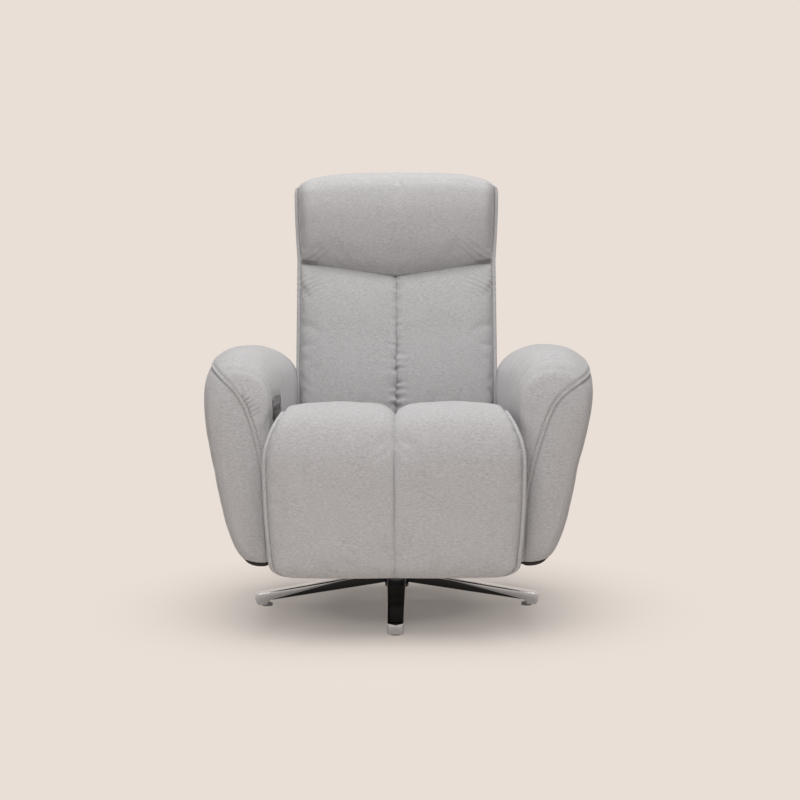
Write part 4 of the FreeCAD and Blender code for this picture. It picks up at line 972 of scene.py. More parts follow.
@dataclass
class ChaisePad(Pad):
    """Seat and leg rest in one: the pad runs over the front roll and down the face of the leg rest."""

    roll_y: float = -305.0
    roll_z: float = 371.0
    roll_radius: float = 115.0
    thickness: float = 47.0
    rear: float = 105.0
    seat_bottom: float = 351.4
    seat_half_width: float = 231.5
    front_half_width: float = 262.0
    end_half_width: float = 251.0
    end: float = 138.0
    end_radius: float = 30.0
    seat_crease: float = 30.0
    face_crease: float = 8.0
    hinge_depth: float = 12.0
    depth_of_seam: float = 21.0
    blend_before: float = 40.0
    blend_after: float = 50.0
    drops: Pairs = ((0.0, 46.0), (0.1, 28.0), (0.3, 23.5), (0.55, 16.5), (0.8, 8.0), (0.94, 3.5), (1.0, 1.5))
    bottom_rise_from: float = 0.88
    tuck_from: float = 18.0
    crease_fade: float = 62.0
    valleys: tuple[float, float] = (20.0, 44.0)
    knee_bulge: float = 4.5
    knee_spread: float = 20.0
    end_pulls: tuple[float, float, float] = (1.45, 0.2, 0.75)
    gathers: tuple[float, float, float] = (0.8, 0.6, 0.3)
    rows_of: tuple[int, int, int, int] = (40, 18, 20, 6)

    def section(self, origin: tuple[float, float], direction: tuple[float, float], half_width: float,
                heights: tuple[float, float, float], travel: float, gather: float) -> PadRow:
        """Makes one section with its seam and crease.

        Args:
            origin: Y and Z of the point from which its heights are measured.
            direction: Direction of its heights in Y and Z.
            half_width: Half its width.
            heights: Heights of its back, of its face and of the face from which the seam hangs.
            travel: Distance along the pad past the crest, which makes the crease shallower.
            gather: Height of the gathers along the crease.

        Returns:
            The section.
        """
        back, face, seam_face = heights
        deep = math.exp(-(max(0.0, travel) / self.crease_fade) ** 2)
        return PadRow(origin, direction, half_width, back, face,
                      seam_face - min(self.depth_of_seam, (seam_face - back) * 0.6),
                      mix(self.face_crease, self.seat_crease, deep), mix(*self.valleys, deep), gather)

    def sections(self) -> list[PadRow]:
        """Lists the sections from the back of the seat over the roll to the foot end.

        Returns:
            The sections.
        """
        made = []
        radius, quarter = self.roll_radius, math.pi / 2
        crest, inner = self.roll_z + radius, radius - self.thickness
        seat_rows, roll_rows, face_rows, end_rows = (count * self.steps for count in self.rows_of)
        shares, falls = zip(*self.drops)
        for i in range(seat_rows):
            share = i / seat_rows
            drop = float(through(shares, falls, [share])[0])
            bottom = mix(self.seat_bottom, self.roll_z + inner,
                         max(0.0, share - self.bottom_rise_from) / (1 - self.bottom_rise_from))
            made.append(self.section((mix(self.rear, self.roll_y, share), 0.0), (0.0, 1.0),
                                     self.seat_half_width - max(0.0, drop - self.tuck_from) / 4,
                                     (bottom, crest - drop, crest - drop), 0.0, self.gathers[0]))
        for i in range(roll_rows):
            angle = mix(quarter, 0.0, i / roll_rows)
            bulge = self.knee_bulge * math.exp(-((math.degrees(angle) - 45) / self.knee_spread) ** 2)
            made.append(self.section((self.roll_y, self.roll_z), (-math.cos(angle), math.sin(angle)),
                                     mix(self.front_half_width, self.seat_half_width, math.sin(angle) ** 2),
                                     (inner, radius + bulge, radius), (quarter - angle) * radius,
                                     self.gathers[1]))
        last = self.end + self.end_radius
        for i in range(face_rows):
            share = i / face_rows
            z = mix(self.roll_z, last, share)
            travel = quarter * radius + self.roll_z - z
            made.append(self.section((self.roll_y, z), (-1.0, 0.0),
                                     mix(self.front_half_width, self.end_half_width, share ** 2),
                                     (inner, radius, radius), travel, self.gathers[2]))
        for i in range(end_rows + 1):
            angle = quarter * i / end_rows
            pull = self.end_radius * (1 - math.cos(angle))
            aside, back, face = (share * pull for share in self.end_pulls)
            made.append(self.section((self.roll_y, last - self.end_radius * math.sin(angle)), (-1.0, 0.0),
                                     self.end_half_width - aside, (inner + back, radius - face, radius - face),
                                     travel, self.gathers[2]))
        return made

    def build(self) -> list[bpy.types.Object]:
        """Makes the pad and its stitching.

        Returns:
            The pad and its stitching.
        """
        form = self.sewn(self.sections(), (2, 1))
        piece = shell_mesh("chaise_pad", form)
        FABRIC.dress(piece)
        thread = Stitching().sew("chaise_stitching", [self.groove(form, side) for side in (1, -1)])
        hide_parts("seat_cushion", "legrest_cushion")
        for part in (piece, thread):
            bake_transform(part)
        return [piece, thread]


@dataclass
class Back(Pad):
    """Leaned back: lumbar pad, head pad and padded outer cover, all on the back frame."""

    lean: float = math.radians(16.0)
    face_y: float = 120.0
    face_z: float = 470.0
    depth: float = 70.7
    bottom: float = -60.0
    panel_bottom: float = -110.0
    neck: float = 305.0
    neck_rise: float = 0.15
    top: float = 567.0
    top_rise: float = -0.128
    seam_height: float = 42.0
    top_pull: float = 4.0
    top_bow: float = 5.2
    low_half_width: float = 235.5
    neck_half_width: float = 236.5
    top_half_width: float = 246.0
    neck_bow: float = 1.35
    neck_folds: tuple[tuple[float, ...], ...] = ((203.0, 198.0, 742.0, 0.42, 30.0, 13.0, 3.0),
                                                 (200.0, 200.0, 800.0, 0.5, 22.0, 12.0, 2.6))
    fold_reach: float = 42.0
    hinge_half_width: float = 216.0
    hinge_top: float = -30.0
    tuck_length: float = 6.0
    seam_gap: float = 0.4
    crease_depth: float = 9.0
    crease_extra: float = 3.0
    gather_base: float = 1.1
    gathers: tuple[tuple[float, float, float], ...] = ((2.3, 30.0, 95.0), (0.8, 290.0, 40.0))
    rows_of: tuple[int, int, int] = (34, 27, 4)
    unstitched_rings: int = 14
    top_turn: float = 5.0
    end_taper: float = 4.0
    panel_rows: tuple[int, int] = (108, 8)
    panel_edge: float = 36.0
    panel_edge_width: float = 1.2
    panel_crown: float = 5.0
    panel_flange: float = 2.0
    panel_turn: float = 4.0
    panel_taper: float = 3.0
    lumbar: Pairs = ((0.0, 14.0), (0.08, 4.0), (0.2, 0.0), (0.6, 0.0), (0.78, 2.5), (0.9, 9.5), (0.97, 20.0),
                     (1.0, 32.0))
    head: Pairs = ((0.0, -36.0), (0.06, -15.0), (0.17, 4.0), (0.4, 27.0), (0.65, 39.0), (0.82, 32.0),
                   (0.93, 6.0), (1.0, -36.0))
    panel: Pairs = ((0.0, 122.0), (0.1, 130.0), (0.3, 142.0), (0.5, 151.0), (0.7, 159.0), (0.86, 164.0),
                    (0.94, 159.0), (0.98, 144.0), (1.0, 122.0))

    def row(self, along: float, rise: float, half_width: float, height: float, crease: float = 0.0,
            gather: float = 0.0) -> PadRow:
        """Makes a section square to the lean, with its heights forward from the back of the pads.

        Args:
            along: Place up the lean.
            rise: Slope of the section's lift towards its sides.
            half_width: Half its width.
            height: Height of its face.
            crease: Depth of its centre crease.
            gather: Height of the gathers beside the crease.

        Returns:
            The section.
        """
        sine, cosine = math.sin(self.lean), math.cos(self.lean)
        y = self.face_y + along * sine + self.depth * cosine
        z = self.face_z + along * cosine - self.depth * sine
        seam = self.seam_height if abs(along - self.neck) < 100 else min(self.seam_height, height * 0.66)
        return PadRow((y, z), (-cosine, sine), half_width, 0.0, height, seam, crease, 20.0, gather, rise,
                      self.bow_at(along), (sine, cosine))

    def bow_at(self, along: float) -> float:
        """Finds the power of the rise across a section: low at the neck, high on top.

        Args:
            along: Place up the lean.

        Returns:
            The power.
        """
        return mix(self.neck_bow, self.top_bow, max(0.0, (along - self.neck) / (self.top - self.neck)))

    def half_width(self, along: float) -> float:
        """Finds the half width of the back, narrow at the hinges and neck, wide at the head.

        Args:
            along: Place up the lean.

        Returns:
            The half width.
        """
        if along < self.neck:
            low = mix(self.low_half_width, self.neck_half_width, max(0.0, along) / self.neck)
            tuck = 1 / (1 + math.exp((along - self.hinge_top) / self.tuck_length))
            return mix(low, self.hinge_half_width, tuck)
        share = min(1.0, (along - self.neck) / (self.top - self.neck))
        return mix(self.neck_half_width, self.top_half_width, math.sin(share * math.pi / 2))

    def rise_at(self, along: float) -> float:
        """Finds how much a section of the head part rises towards its sides.

        Args:
            along: Place up the lean.

        Returns:
            The slope.
        """
        return mix(self.neck_rise, self.top_rise, (along - self.neck) / (self.top - self.neck))

    def lumbar_rows(self) -> list[PadRow]:
        """Lists the sections of the lumbar pad, from below up to the neck seam.

        Returns:
            The sections.
        """
        shares, drops = zip(*self.lumbar)
        count = self.rows_of[0] * self.steps
        made = []
        for i in range(count + 1):
            share = i / count
            along = mix(self.bottom, self.neck, share)
            drop = float(through(shares, drops, [share])[0])
            gather = self.gather_base
            for amount, centre, length in self.gathers:
                gather += amount * math.exp(-((along - centre) / length) ** 2)
            made.append(self.row(along, self.neck_rise * share ** 3, self.half_width(along), self.depth - drop,
                                 self.crease_depth + self.crease_extra * (1 - share), gather))
        return made

    def head_rows(self) -> list[PadRow]:
        """Lists the sections of the head pad, from the neck seam over the top.

        Returns:
            The sections.
        """
        shares, rises = zip(*self.head)
        count, turn = (rows * self.steps for rows in self.rows_of[1:])
        made = []
        for i in range(count):
            share = i / count
            along = mix(self.neck + self.seam_gap, self.top, share)
            rise = float(through(shares, rises, [share])[0])
            pull = self.top_pull * max(0.0, share - 0.9) / 0.1
            made.append(self.row(along, self.rise_at(along), self.half_width(along) - pull, self.depth + rise))
        last = self.depth + self.head[-1][1]
        for i in range(turn + 1):
            angle = math.pi / 2 * i / turn
            along = self.top + self.top_turn * math.sin(angle)
            half = self.half_width(self.top) - self.top_pull - self.end_taper * math.sin(angle)
            made.append(self.row(along, self.top_rise, half, max(2.0, last * math.cos(angle))))
        return made

    def panel_rings(self) -> np.ndarray:
        """Draws the outer cover, from its lower hem over its top edge.

        Returns:
            Points in millimetres, as rings.
        """
        shares, depths = zip(*self.panel)
        front = self.depth + self.seam_gap
        count, turn = self.panel_rows
        sine, cosine = math.sin(self.lean), math.cos(self.lean)
        angle = np.linspace(0, np.pi / 2, 14)
        side = np.linspace(0, 1, 10, endpoint=False)
        flat = np.linspace(0, 1, 25)[1:]
        rings = []
        for i in range(count + turn + 1):
            share = min(1.0, i / count)
            over = max(0, i - count) / turn
            along = mix(self.panel_bottom, self.top, share) + self.panel_turn * math.sin(over * math.pi / 2)
            rear = float(through(shares, depths, [share])[0])
            rear = front + (rear - front) * max(0.03, math.cos(over * math.pi / 2))
            rise = self.rise_at(along) if along > self.neck else 0.0
            if along > self.neck:
                rise -= self.neck_rise * max(0.0, self.top - along) / (self.top - self.neck)
            half = (self.half_width(along) - self.top_pull * max(0.0, share - 0.94) / 0.06
                    - self.panel_taper * over)
            edge = min(self.panel_edge, (rear - front) * 0.7)
            crown = self.panel_crown * min(1, edge / self.panel_edge)
            wall, face = half - self.panel_flange, edge * self.panel_edge_width
            across = np.concatenate([np.linspace(0, wall, 12, endpoint=False), wall + 4 * side * (1 - side),
                                     wall - face * (1 - np.cos(angle)), (wall - face) * (1 - flat)])
            depth = np.concatenate([np.full(12, front), mix(front, rear - edge, side),
                                    rear - edge + (edge - crown) * np.sin(angle),
                                    rear - crown * (1 - flat) ** 2])
            ring = mirrored(np.stack([across, depth], axis=1))
            lengthwise = along + rise * half * (np.abs(ring[:, 0]) / half) ** self.bow_at(along)
            rings.append(np.stack([ring[:, 0], self.face_y + lengthwise * sine + ring[:, 1] * cosine,
                                   self.face_z + lengthwise * cosine - ring[:, 1] * sine], axis=1))
        return np.array(rings)

    def build(self) -> list[bpy.types.Object]:
        """Makes the two pads, their stitching and the outer cover.

        Returns:
            The four pieces.
        """
        self.folds = tuple(Folds((side * x, y, z), (side * slant, 0.25, 0.88), wide, self.fold_reach, period, depth)
                           for side in (1, -1) for x, y, z, slant, wide, period, depth in self.neck_folds)
        low, high = self.sewn(self.lumbar_rows()), self.sewn(self.head_rows(), (1, 4))
        lumbar = shell_mesh("lumbar_pad", low)
        head = shell_mesh("head_pad", high)
        cover = shell_mesh("outer_back_cover", self.panel_rings())
        stitched = (low, high[:-self.unstitched_rings])
        thread = Stitching().sew("back_stitching", [self.groove(form, side) for form in stitched for side in (1, -1)])
        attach(thread, "back")
        made = [thread]
        for piece, node, fill in ((lumbar, "lumbar_cushion", 0.7), (head, "headrest_cushion", 0.75),
                                  (cover, "back_outer_panel", 0.8)):
            FABRIC.dress(piece)
            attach(piece, "back")
            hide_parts(node)
            made.append(piece)
        return made


class Side(Enum):
    """Side of the chair, as the sign of X."""

    RIGHT = 1
    LEFT = -1


# How far each arm's outer face leans out, low down and high up: the two are stuffed unevenly.
LEANS = {Side.RIGHT: (-7.0, 12.0), Side.LEFT: (-11.0, -5.0)}
# Each arm's lap seam in the front view, as X and Z at +X, from the top of the outer face down the nose.
LAPS = {
    Side.RIGHT: ((458.0, 574.0), (428.0, 576.0), (408.0, 568.0), (398.0, 556.0), (388.0, 541.0), (368.0, 527.0),
                 (342.0, 508.0), (323.0, 484.0), (310.0, 452.0), (299.0, 415.0), (289.0, 380.0), (279.0, 345.0),
                 (268.0, 290.0), (262.0, 200.0), (260.0, 100.0)),
    Side.LEFT: ((440.0, 570.0), (400.0, 570.0), (381.0, 559.0), (354.0, 537.0), (328.0, 513.0), (309.0, 485.0),
                (295.0, 452.0), (284.0, 415.0), (276.0, 380.0), (269.0, 345.0), (264.0, 290.0), (260.0, 200.0),
                (258.0, 100.0))}


# The arms' inner faces, which flare out towards the nose, and the middle of the control plate on one.
ARM_INNER, ARM_FLARE, FLARE_START, FLARE_POWER = 237.0, 17.0, 320.0, 1.25
PLATE_Y, PLATE_Z = -250.0, 474.0


def inner_wall(y: float) -> float:
    """Finds an arm's inner face.

    Args:
        y: Place along the arm.

    Returns:
        Its distance from the middle of the chair.
    """
    return ARM_INNER + ARM_FLARE * min(1.0, max(0.0, -y / FLARE_START)) ** FLARE_POWER


@dataclass
class Arm:
    """Padded arm: a cap over its top and inner face laps a petal on its outer face and nose."""

    side: Side
    stuffing: Stuffing = Stuffing(pressure=3.0, slack=0.012, limit=8.0, fold_gain=0.3)
    held: tuple[float, float, float] = (7.0, 6.0, 12.0)
    stitch_inset: float = 5.6
    thread_rise: float = 1.2
    plate_bed: float = -1.5
    edge_section: Pairs = ((-1.6, -1.5), (-2.2, 0.8), (-1.6, 2.8), (0.4, 3.9), (2.6, 3.6), (4.3, 2.2), (5.6, 0.6),
                           (5.2, -1.5))
    welt_section: Pairs = ((-2.2, -1.2), (-1.6, 0.9), (0.0, 1.6), (1.6, 0.9), (2.2, -1.2), (0.0, -2.0))
    welt: Pairs = ((420.0, 152.0), (340.0, 148.0), (312.0, 145.0), (290.0, 141.0), (264.0, 139.0), (225.0, 138.0))
    nose_lines: tuple[float, float] = (-60.0, -325.0)
    inner: float = ARM_INNER
    lean_start: tuple[float, float] = (20.0, 330.0)
    lean_length: tuple[float, float] = (130.0, 220.0)
    outer: float = 412.0
    top: float = 596.0
    bottom: float = 131.0
    front: float = -345.0
    rear: float = 300.0
    end_length: tuple[float, float] = (45.0, 25.0)
    ring_counts: tuple[int, int, int] = (16, 74, 10)
    ring_points: int = 96
    nose: float = 6.0
    nose_rings: int = 26
    lap: float = 4.4
    cap_rise: tuple[float, float] = (3.5, 6.0)
    cap_level: float = 6.0
    cap_fade: float = 30.0
    pucker: float = 0.9
    pucker_fade: float = 10.0
    pucker_period: float = 6.0
    lap_groove: tuple[float, float, float] = (1.8, 2.5, 12.0)
    welt_groove: tuple[float, float] = (1.5, 14.0)
    gather_centre: tuple[float, float] = (318.0, 494.0)
    gather_way: tuple[float, float] = (0.59, 0.81)
    gather_half_length: float = 47.0
    gather_fade: float = 22.0
    gather_slant: float = 0.12
    gather_period: float = 8.8
    gather_depth: float = 2.5
    gather_gap: float = 3.0
    gather_rear: float = -150.0
    bed_half: tuple[float, float] = (50.0, 24.0)
    bed_inside: float = 40.0
    bed_fade: float = 12.0
    stations: tuple[tuple[float, ...], ...] = (
        (-1.0, 44.0, 92.0, 44.0, 12.0), (-0.983, 30.0, 64.0, 31.0, 4.0), (-0.945, 20.0, 42.0, 21.0, 1.0),
        (-0.87, 14.0, 22.0, 15.0, 0.0), (-0.74, 9.0, 7.0, 12.0, 0.0), (-0.55, 4.0, 0.0, 9.0, 0.0),
        (-0.23, 0.0, 0.0, 4.0, 0.0), (0.2, 0.0, 6.0, 3.0, 0.0), (0.6, 6.0, 17.0, 4.0, 0.0),
        (0.83, 14.0, 30.0, 9.0, 0.0), (0.95, 26.0, 50.0, 20.0, 2.0), (1.0, 42.0, 78.0, 40.0, 10.0))
    outline: Pairs = ((0.0, 0.05), (0.0, 0.3), (0.0, 0.6), (0.0, 0.84), (0.115, 0.945), (0.3, 0.988), (0.48, 1.0),
                      (0.68, 0.988), (0.82, 0.958), (0.92, 0.915), (0.985, 0.86), (1.0, 0.77), (0.98, 0.66),
                      (0.93, 0.54), (0.845, 0.39), (0.75, 0.25), (0.66, 0.155), (0.55, 0.075), (0.40, 0.02),
                      (0.24, 0.0), (0.04, 0.006))

    def rings(self) -> np.ndarray:
        """Draws the arm's form at +X, from its nose to its rear end.

        Returns:
            Points in millimetres, as rings.
        """
        outline = self.even(refine(np.array(self.outline), 5, True), self.ring_points)
        made = []
        nose_end, rear_start = self.front + self.end_length[0], self.rear - self.end_length[1]
        places = np.concatenate([np.linspace(self.front, nose_end, self.ring_counts[0], endpoint=False),
                                 np.linspace(nose_end, rear_start, self.ring_counts[1], endpoint=False),
                                 np.linspace(rear_start, self.rear, self.ring_counts[2])])
        for y in places:
            outer, drop, rise, inset = self.drops(np.array([y]), self.front)[0]
            x = mix(inner_wall(y) + inset, self.outer - outer, outline[:, 0])
            z = mix(self.bottom + rise, self.top - drop, outline[:, 1])
            made.append(np.stack([x, np.full(len(x), y), z], axis=1))
        for end, bulge in ((0, -self.nose), (-1, self.nose)):
            ring = made[end]
            middle = ring.mean(axis=0)
            closing = []
            for shrink in np.cos(np.linspace(0.12, 1.0, self.nose_rings) * math.pi / 2 * 0.97):
                inner_ring = middle + (ring - middle) * shrink
                inner_ring[:, 1] = ring[0, 1] + bulge * (1 - shrink ** 2)
                closing.append(inner_ring)
            made = closing[::-1] + made if end == 0 else made + closing
        return np.array(made)

    @staticmethod
    def even(outline: np.ndarray, count: int) -> np.ndarray:
        """Spaces the points of a closed outline evenly, as measured on a typical section.

        Args:
            outline: Points as shares of the width and height.
            count: Number of points wanted.

        Returns:
            The new points.
        """
        size = (160.0, 465.0)
        scaled = np.concatenate([outline, outline[:1]]) * size
        run = travelled(scaled)
        return read_along(np.linspace(0, run[-1], count, endpoint=False), run, scaled) / size

    def drops(self, y: np.ndarray, first: float) -> np.ndarray:
        """Finds the insets of the arm's form at places along it.

        Args:
            y: Places in millimetres.
            first: Place in front of which the insets stay as they are there.

        Returns:
            Outer inset, top drop, bottom rise and inner inset, one row for each place.
        """
        knots = [s[0] * (-self.front if s[0] < 0 else self.rear) for s in self.stations]
        return through(knots, np.array([s[1:] for s in self.stations]), np.maximum(y, first))

    def from_line(self, points: np.ndarray, line: Pairs, inset: int) -> np.ndarray:
        """Measures the signed distance of points from a seam that is drawn in the front view.

        Args:
            points: Rows of three in millimetres, at +X.
            line: Corners of the seam in X and Z; the cover above or inside it is positive.
            inset: Which inset of the stations the seam follows to the rear: 1 top, 2 bottom.

        Returns:
            One distance for each point.
        """
        fine = refine(np.array(line), 6, False)
        start, run = fine[:-1], np.diff(fine, axis=0)
        shift = self.drops(points[:, 1], self.nose_lines[inset - 1])[:, inset] * (1 if inset == 1 else -1)
        flat = np.stack([points[:, 0] - self.leaning(points), points[:, 2] + shift], axis=1)
        gap = flat[:, None] - start[None]
        share = np.clip(np.sum(gap * run, axis=2) / np.sum(run * run, axis=1), 0, 1)
        away = gap - share[..., None] * run
        reach = np.linalg.norm(away, axis=2)
        nearest = reach.argmin(axis=1)
        rows = np.arange(len(flat))
        side = run[nearest, 0] * away[rows, nearest, 1] - run[nearest, 1] * away[rows, nearest, 0]
        return np.where(side < 0, 1, -1) * reach[rows, nearest]

    def leaning(self, points: np.ndarray) -> np.ndarray:
        """Finds how far the stuffing leans the outer face out.

        Args:
            points: Points of the upright form.

        Returns:
            One distance for each point.
        """
        share, high = (np.clip((place - start) / length, 0, 1) for place, start, length in zip(
            (points[..., 0] - self.inner, points[..., 2]), self.lean_start, self.lean_length))
        low_lean, top_lean = LEANS[self.side]
        return mix(low_lean, top_lean, eased(high)) * share

    def build(self) -> list[bpy.types.Object]:
        """Makes the cover of the arm with painted shade on its lowest faces, its lapped edge, its welt and its
        stitching.

        Returns:
            The four pieces.
        """
        name = self.side.name.lower()
        form = self.rings()
        form[..., 0] += self.leaning(form)
        pinned = np.zeros(form.shape[:2])
        away = self.from_line(form.reshape(-1, 3), LAPS[self.side], 1).reshape(form.shape[:2])
        seam, wall, floor = self.held
        pinned[np.abs(away) < seam] = 1
        pinned[form[..., 0] < self.inner + wall] = 1
        pinned[form[..., 2] < self.bottom + floor] = 1
        form = form + self.stuffing.swell(form, pinned)
        form = refine(refine(form, 2, False).swapaxes(0, 1), 3, True).swapaxes(0, 1)
        points = form.reshape(-1, 3)
        away = self.from_line(points, LAPS[self.side], 1).reshape(form.shape[:2])
        low = self.from_line(points, self.welt, 2).reshape(form.shape[:2])
        form = form + outward(form) * self.relief(form, away, low)[..., None]
        cover = shell_mesh("arm_cover_" + name, form)
        edge_line, edge_normals = self.traced(form, away)
        welt_line, welt_normals = self.traced(form, low, True)
        edge = self.strip("arm_lap_" + name, edge_line, edge_normals, self.edge_section)
        welt = self.strip("arm_welt_" + name, welt_line, welt_normals, self.welt_section)
        aside = np.cross(edge_normals, np.gradient(edge_line, axis=0))
        aside /= np.linalg.norm(aside, axis=1, keepdims=True)
        thread = Stitching().sew("arm_stitching_" + name,
                                 [(edge_line + aside * self.stitch_inset + edge_normals * self.thread_rise,
                                   edge_normals)])
        FABRIC.dress(cover)
        # Painted shade: the faces below the bottom seam take a dark finish that stands in for the shade beneath the
        # arm.
        cover.data.materials.append(UNDERSIDE_PAINTED_SHADE.material())
        painted_shade_faces = (low[:-1] + low[1:] + np.roll(low[:-1] + low[1:], -1, 1) < 0).astype(int)
        slots = np.zeros(len(cover.data.polygons), int)
        slots[:painted_shade_faces.size] = painted_shade_faces.ravel()
        cover.data.polygons.foreach_set("material_index", slots)
        for piece in (cover, edge, welt, thread):
            if self.side is Side.LEFT:
                piece.data.transform(Matrix.Scale(-1, 4, (1, 0, 0)))
                piece.data.flip_normals()
            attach(piece, "chassis")
        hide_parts("arm_upholstery_" + name)
        return [cover, edge, welt, thread]

    def relief(self, form: np.ndarray, away: np.ndarray, low: np.ndarray) -> np.ndarray:
        """Shapes the cap over the petal, the seams' grooves, the gathers and the plate's bed.

        Args:
            form: Rings of points.
            away: Their distances from the lap seam.
            low: Their distances from the bottom seam.

        Returns:
            How far each point moves along its normal.
        """
        depth, place, wide = self.lap_groove
        welt_depth, welt_wide = self.welt_groove
        past = np.maximum(away - self.cap_level, 0)
        start, length = self.cap_rise
        cap = eased(np.clip((away - start) / length, 0, 1)) * np.exp(-past / self.cap_fade)
        push = self.lap * cap - depth * np.exp(-(away + place) ** 2 / wide)
        push -= welt_depth * np.exp(-low ** 2 / welt_wide)
        push += self.pucker * cap * np.exp(-past / self.pucker_fade) * ripple(form, self.pucker_period, seed=2.0)
        if self.side is Side.LEFT:
            run = form[..., 0] * self.gather_way[0] + form[..., 2] * self.gather_way[1]
            centre = self.gather_centre[0] * self.gather_way[0] + self.gather_centre[1] * self.gather_way[1]
            zone = (np.exp(-((run - centre) / self.gather_half_length) ** 4) * (form[..., 1] < self.gather_rear)
                    * (away > self.gather_gap))
            fade = np.exp(-(past / self.gather_fade) ** 2)
            wave = np.sin((run + self.gather_slant * away) / self.gather_period * math.tau)
            push += self.gather_depth * zone * fade * wave
            gap = np.maximum(np.abs(form[..., 1] - PLATE_Y) - self.bed_half[0],
                             np.abs(form[..., 2] - PLATE_Z) - self.bed_half[1])
            bed = (form[..., 0] < self.inner + self.bed_inside) * np.clip(1 - gap / self.bed_fade, 0, 1)
            push = mix(push, self.plate_bed, bed)
        return push

    def traced(self, form: np.ndarray, values: np.ndarray, bottom: bool = False) -> tuple[np.ndarray, np.ndarray]:
        """Finds the line on the rings where a value passes through zero, from the nose over the outer face.

        Args:
            form: Rings of points.
            values: The value at each point.
            bottom: Whether it is the seam round the bottom, which shows except on the inner face.

        Returns:
            Points every 3 mm, and the unit normals there.
        """
        rings, ring = values.shape
        normals = outward(form)
        crossing, links = {}, {}

        def cross(a: tuple[int, int], b: tuple[int, int]) -> tuple | None:
            """Notes where the line crosses the edge between two points, and gives the edge's key."""
            if (values[a] < 0) == (values[b] < 0):
                return None
            key = (min(a, b), max(a, b))
            share = values[a] / (values[a] - values[b])
            crossing[key] = (mix(form[a], form[b], share), mix(normals[a], normals[b], share))
            return key

        for i in range(rings - 1):
            for j in range(ring):
                corners = [(i, j), (i, (j + 1) % ring), (i + 1, (j + 1) % ring), (i + 1, j)]
                found = [cross(corners[k], corners[(k + 1) % 4]) for k in range(4)]
                found = [key for key in found if key]
                if len(found) == 2:
                    for one, other in (found, found[::-1]):
                        links.setdefault(one, []).append(other)
        chains, seen = [], set()
        for start in sorted(links, key=lambda key: len(links[key])):
            if start in seen:
                continue
            chain = [start]
            seen.add(start)
            while True:
                onward = [key for key in links[chain[-1]] if key not in seen]
                if not onward:
                    break
                chain.append(onward[0])
                seen.add(onward[0])
            chains.append(chain)
        chain = max(chains, key=len)
        line = np.array([crossing[key][0] for key in chain])
        normal = np.array([crossing[key][1] for key in chain])
        # The loop is cut where it is hidden: on the inner face, or low on the nose.
        if bottom:
            hidden = line[:, 0] + (line[:, 1] < -200) * 1000
        else:
            hidden = line[:, 2] + (line[:, 1] > self.front + 60) * 1000
        start = int(np.argmin(hidden))
        line, normal = np.roll(line, -start, 0), np.roll(normal, -start, 0)
        if line[len(line) // 8, 2] < line[-len(line) // 8, 2] - 40:
            line, normal = line[::-1], normal[::-1]
        kept = self.stretch(line, bottom)
        line, normal = line[kept], normal[kept]
        run = travelled(line)
        at = np.arange(0, run[-1], 3.0)
        line, normal = read_along(at, run, line), read_along(at, run, normal)
        for _ in range(4):
            line[1:-1] = (line[:-2] + 2 * line[1:-1] + line[2:]) / 4
            normal[1:-1] = (normal[:-2] + 2 * normal[1:-1] + normal[2:]) / 4
        return line, normal / np.linalg.norm(normal, axis=1, keepdims=True)

    def stretch(self, line: np.ndarray, bottom: bool) -> slice:
        """Finds the part of a traced line that shows: away from the underside and the inner face.

        Args:
            line: Points of the line.
            bottom: Whether it is the seam round the bottom.

        Returns:
            The part's place in the line.
        """
        shows = line[:, 0] > self.inner + 26 if bottom else (line[:, 2] > self.bottom + 30) | (line[:, 0] > 300)
        ends = np.flatnonzero(shows)
        return slice(int(ends[0]), int(ends[-1]) + 1)

    def strip(self, name: str, line: np.ndarray, normals: np.ndarray, section: Pairs) -> bpy.types.Object:
        """Makes a rounded band of cloth along a seam.

        Args:
            name: Name of the piece.
            line: Points of the seam.
            normals: Unit normals of the cover there.
            section: Closed section of the band, as distances towards the cap and outward.

        Returns:
            The band.
        """
        aside = np.cross(normals, np.gradient(line, axis=0))
        aside /= np.linalg.norm(aside, axis=1, keepdims=True)
        wave = 0.35 * ripple(line, 9.0, 4.0)
        shape = refine(np.array(section), 2, True)
        rows = (line[:, None] + aside[:, None] * (shape[None, :, :1] + wave[:, None, None])
                + normals[:, None] * shape[None, :, 1:])
        piece = shell_mesh(name, rows)
        FABRIC.dress(piece)
        return piece


# Rigid pieces


def curved(section: list[tuple[float, float]], radius: float, steps: int = 4) -> np.ndarray:
    """Rounds the corners of a closed outline.

    Args:
        section: Corners in millimetres.
        radius: Radius of the rounding, less where the sides are short.
        steps: Steps of each rounding.

    Returns:
        Points of the rounded outline.
    """
    corners = np.array(section, float)
    made = []
    for before, corner, after in zip(np.roll(corners, 1, 0), corners, np.roll(corners, -1, 0)):
        arms = [before - corner, after - corner]
        reach = min([radius] + [float(np.linalg.norm(arm)) * 0.49 for arm in arms])
        first, last = (corner + arm / max(np.linalg.norm(arm), 1e-6) * reach for arm in arms)
        for k in range(steps + 1):
            t = k / steps
            made.append(first * (1 - t) ** 2 + corner * 2 * t * (1 - t) + last * t * t)
    return np.array(made)


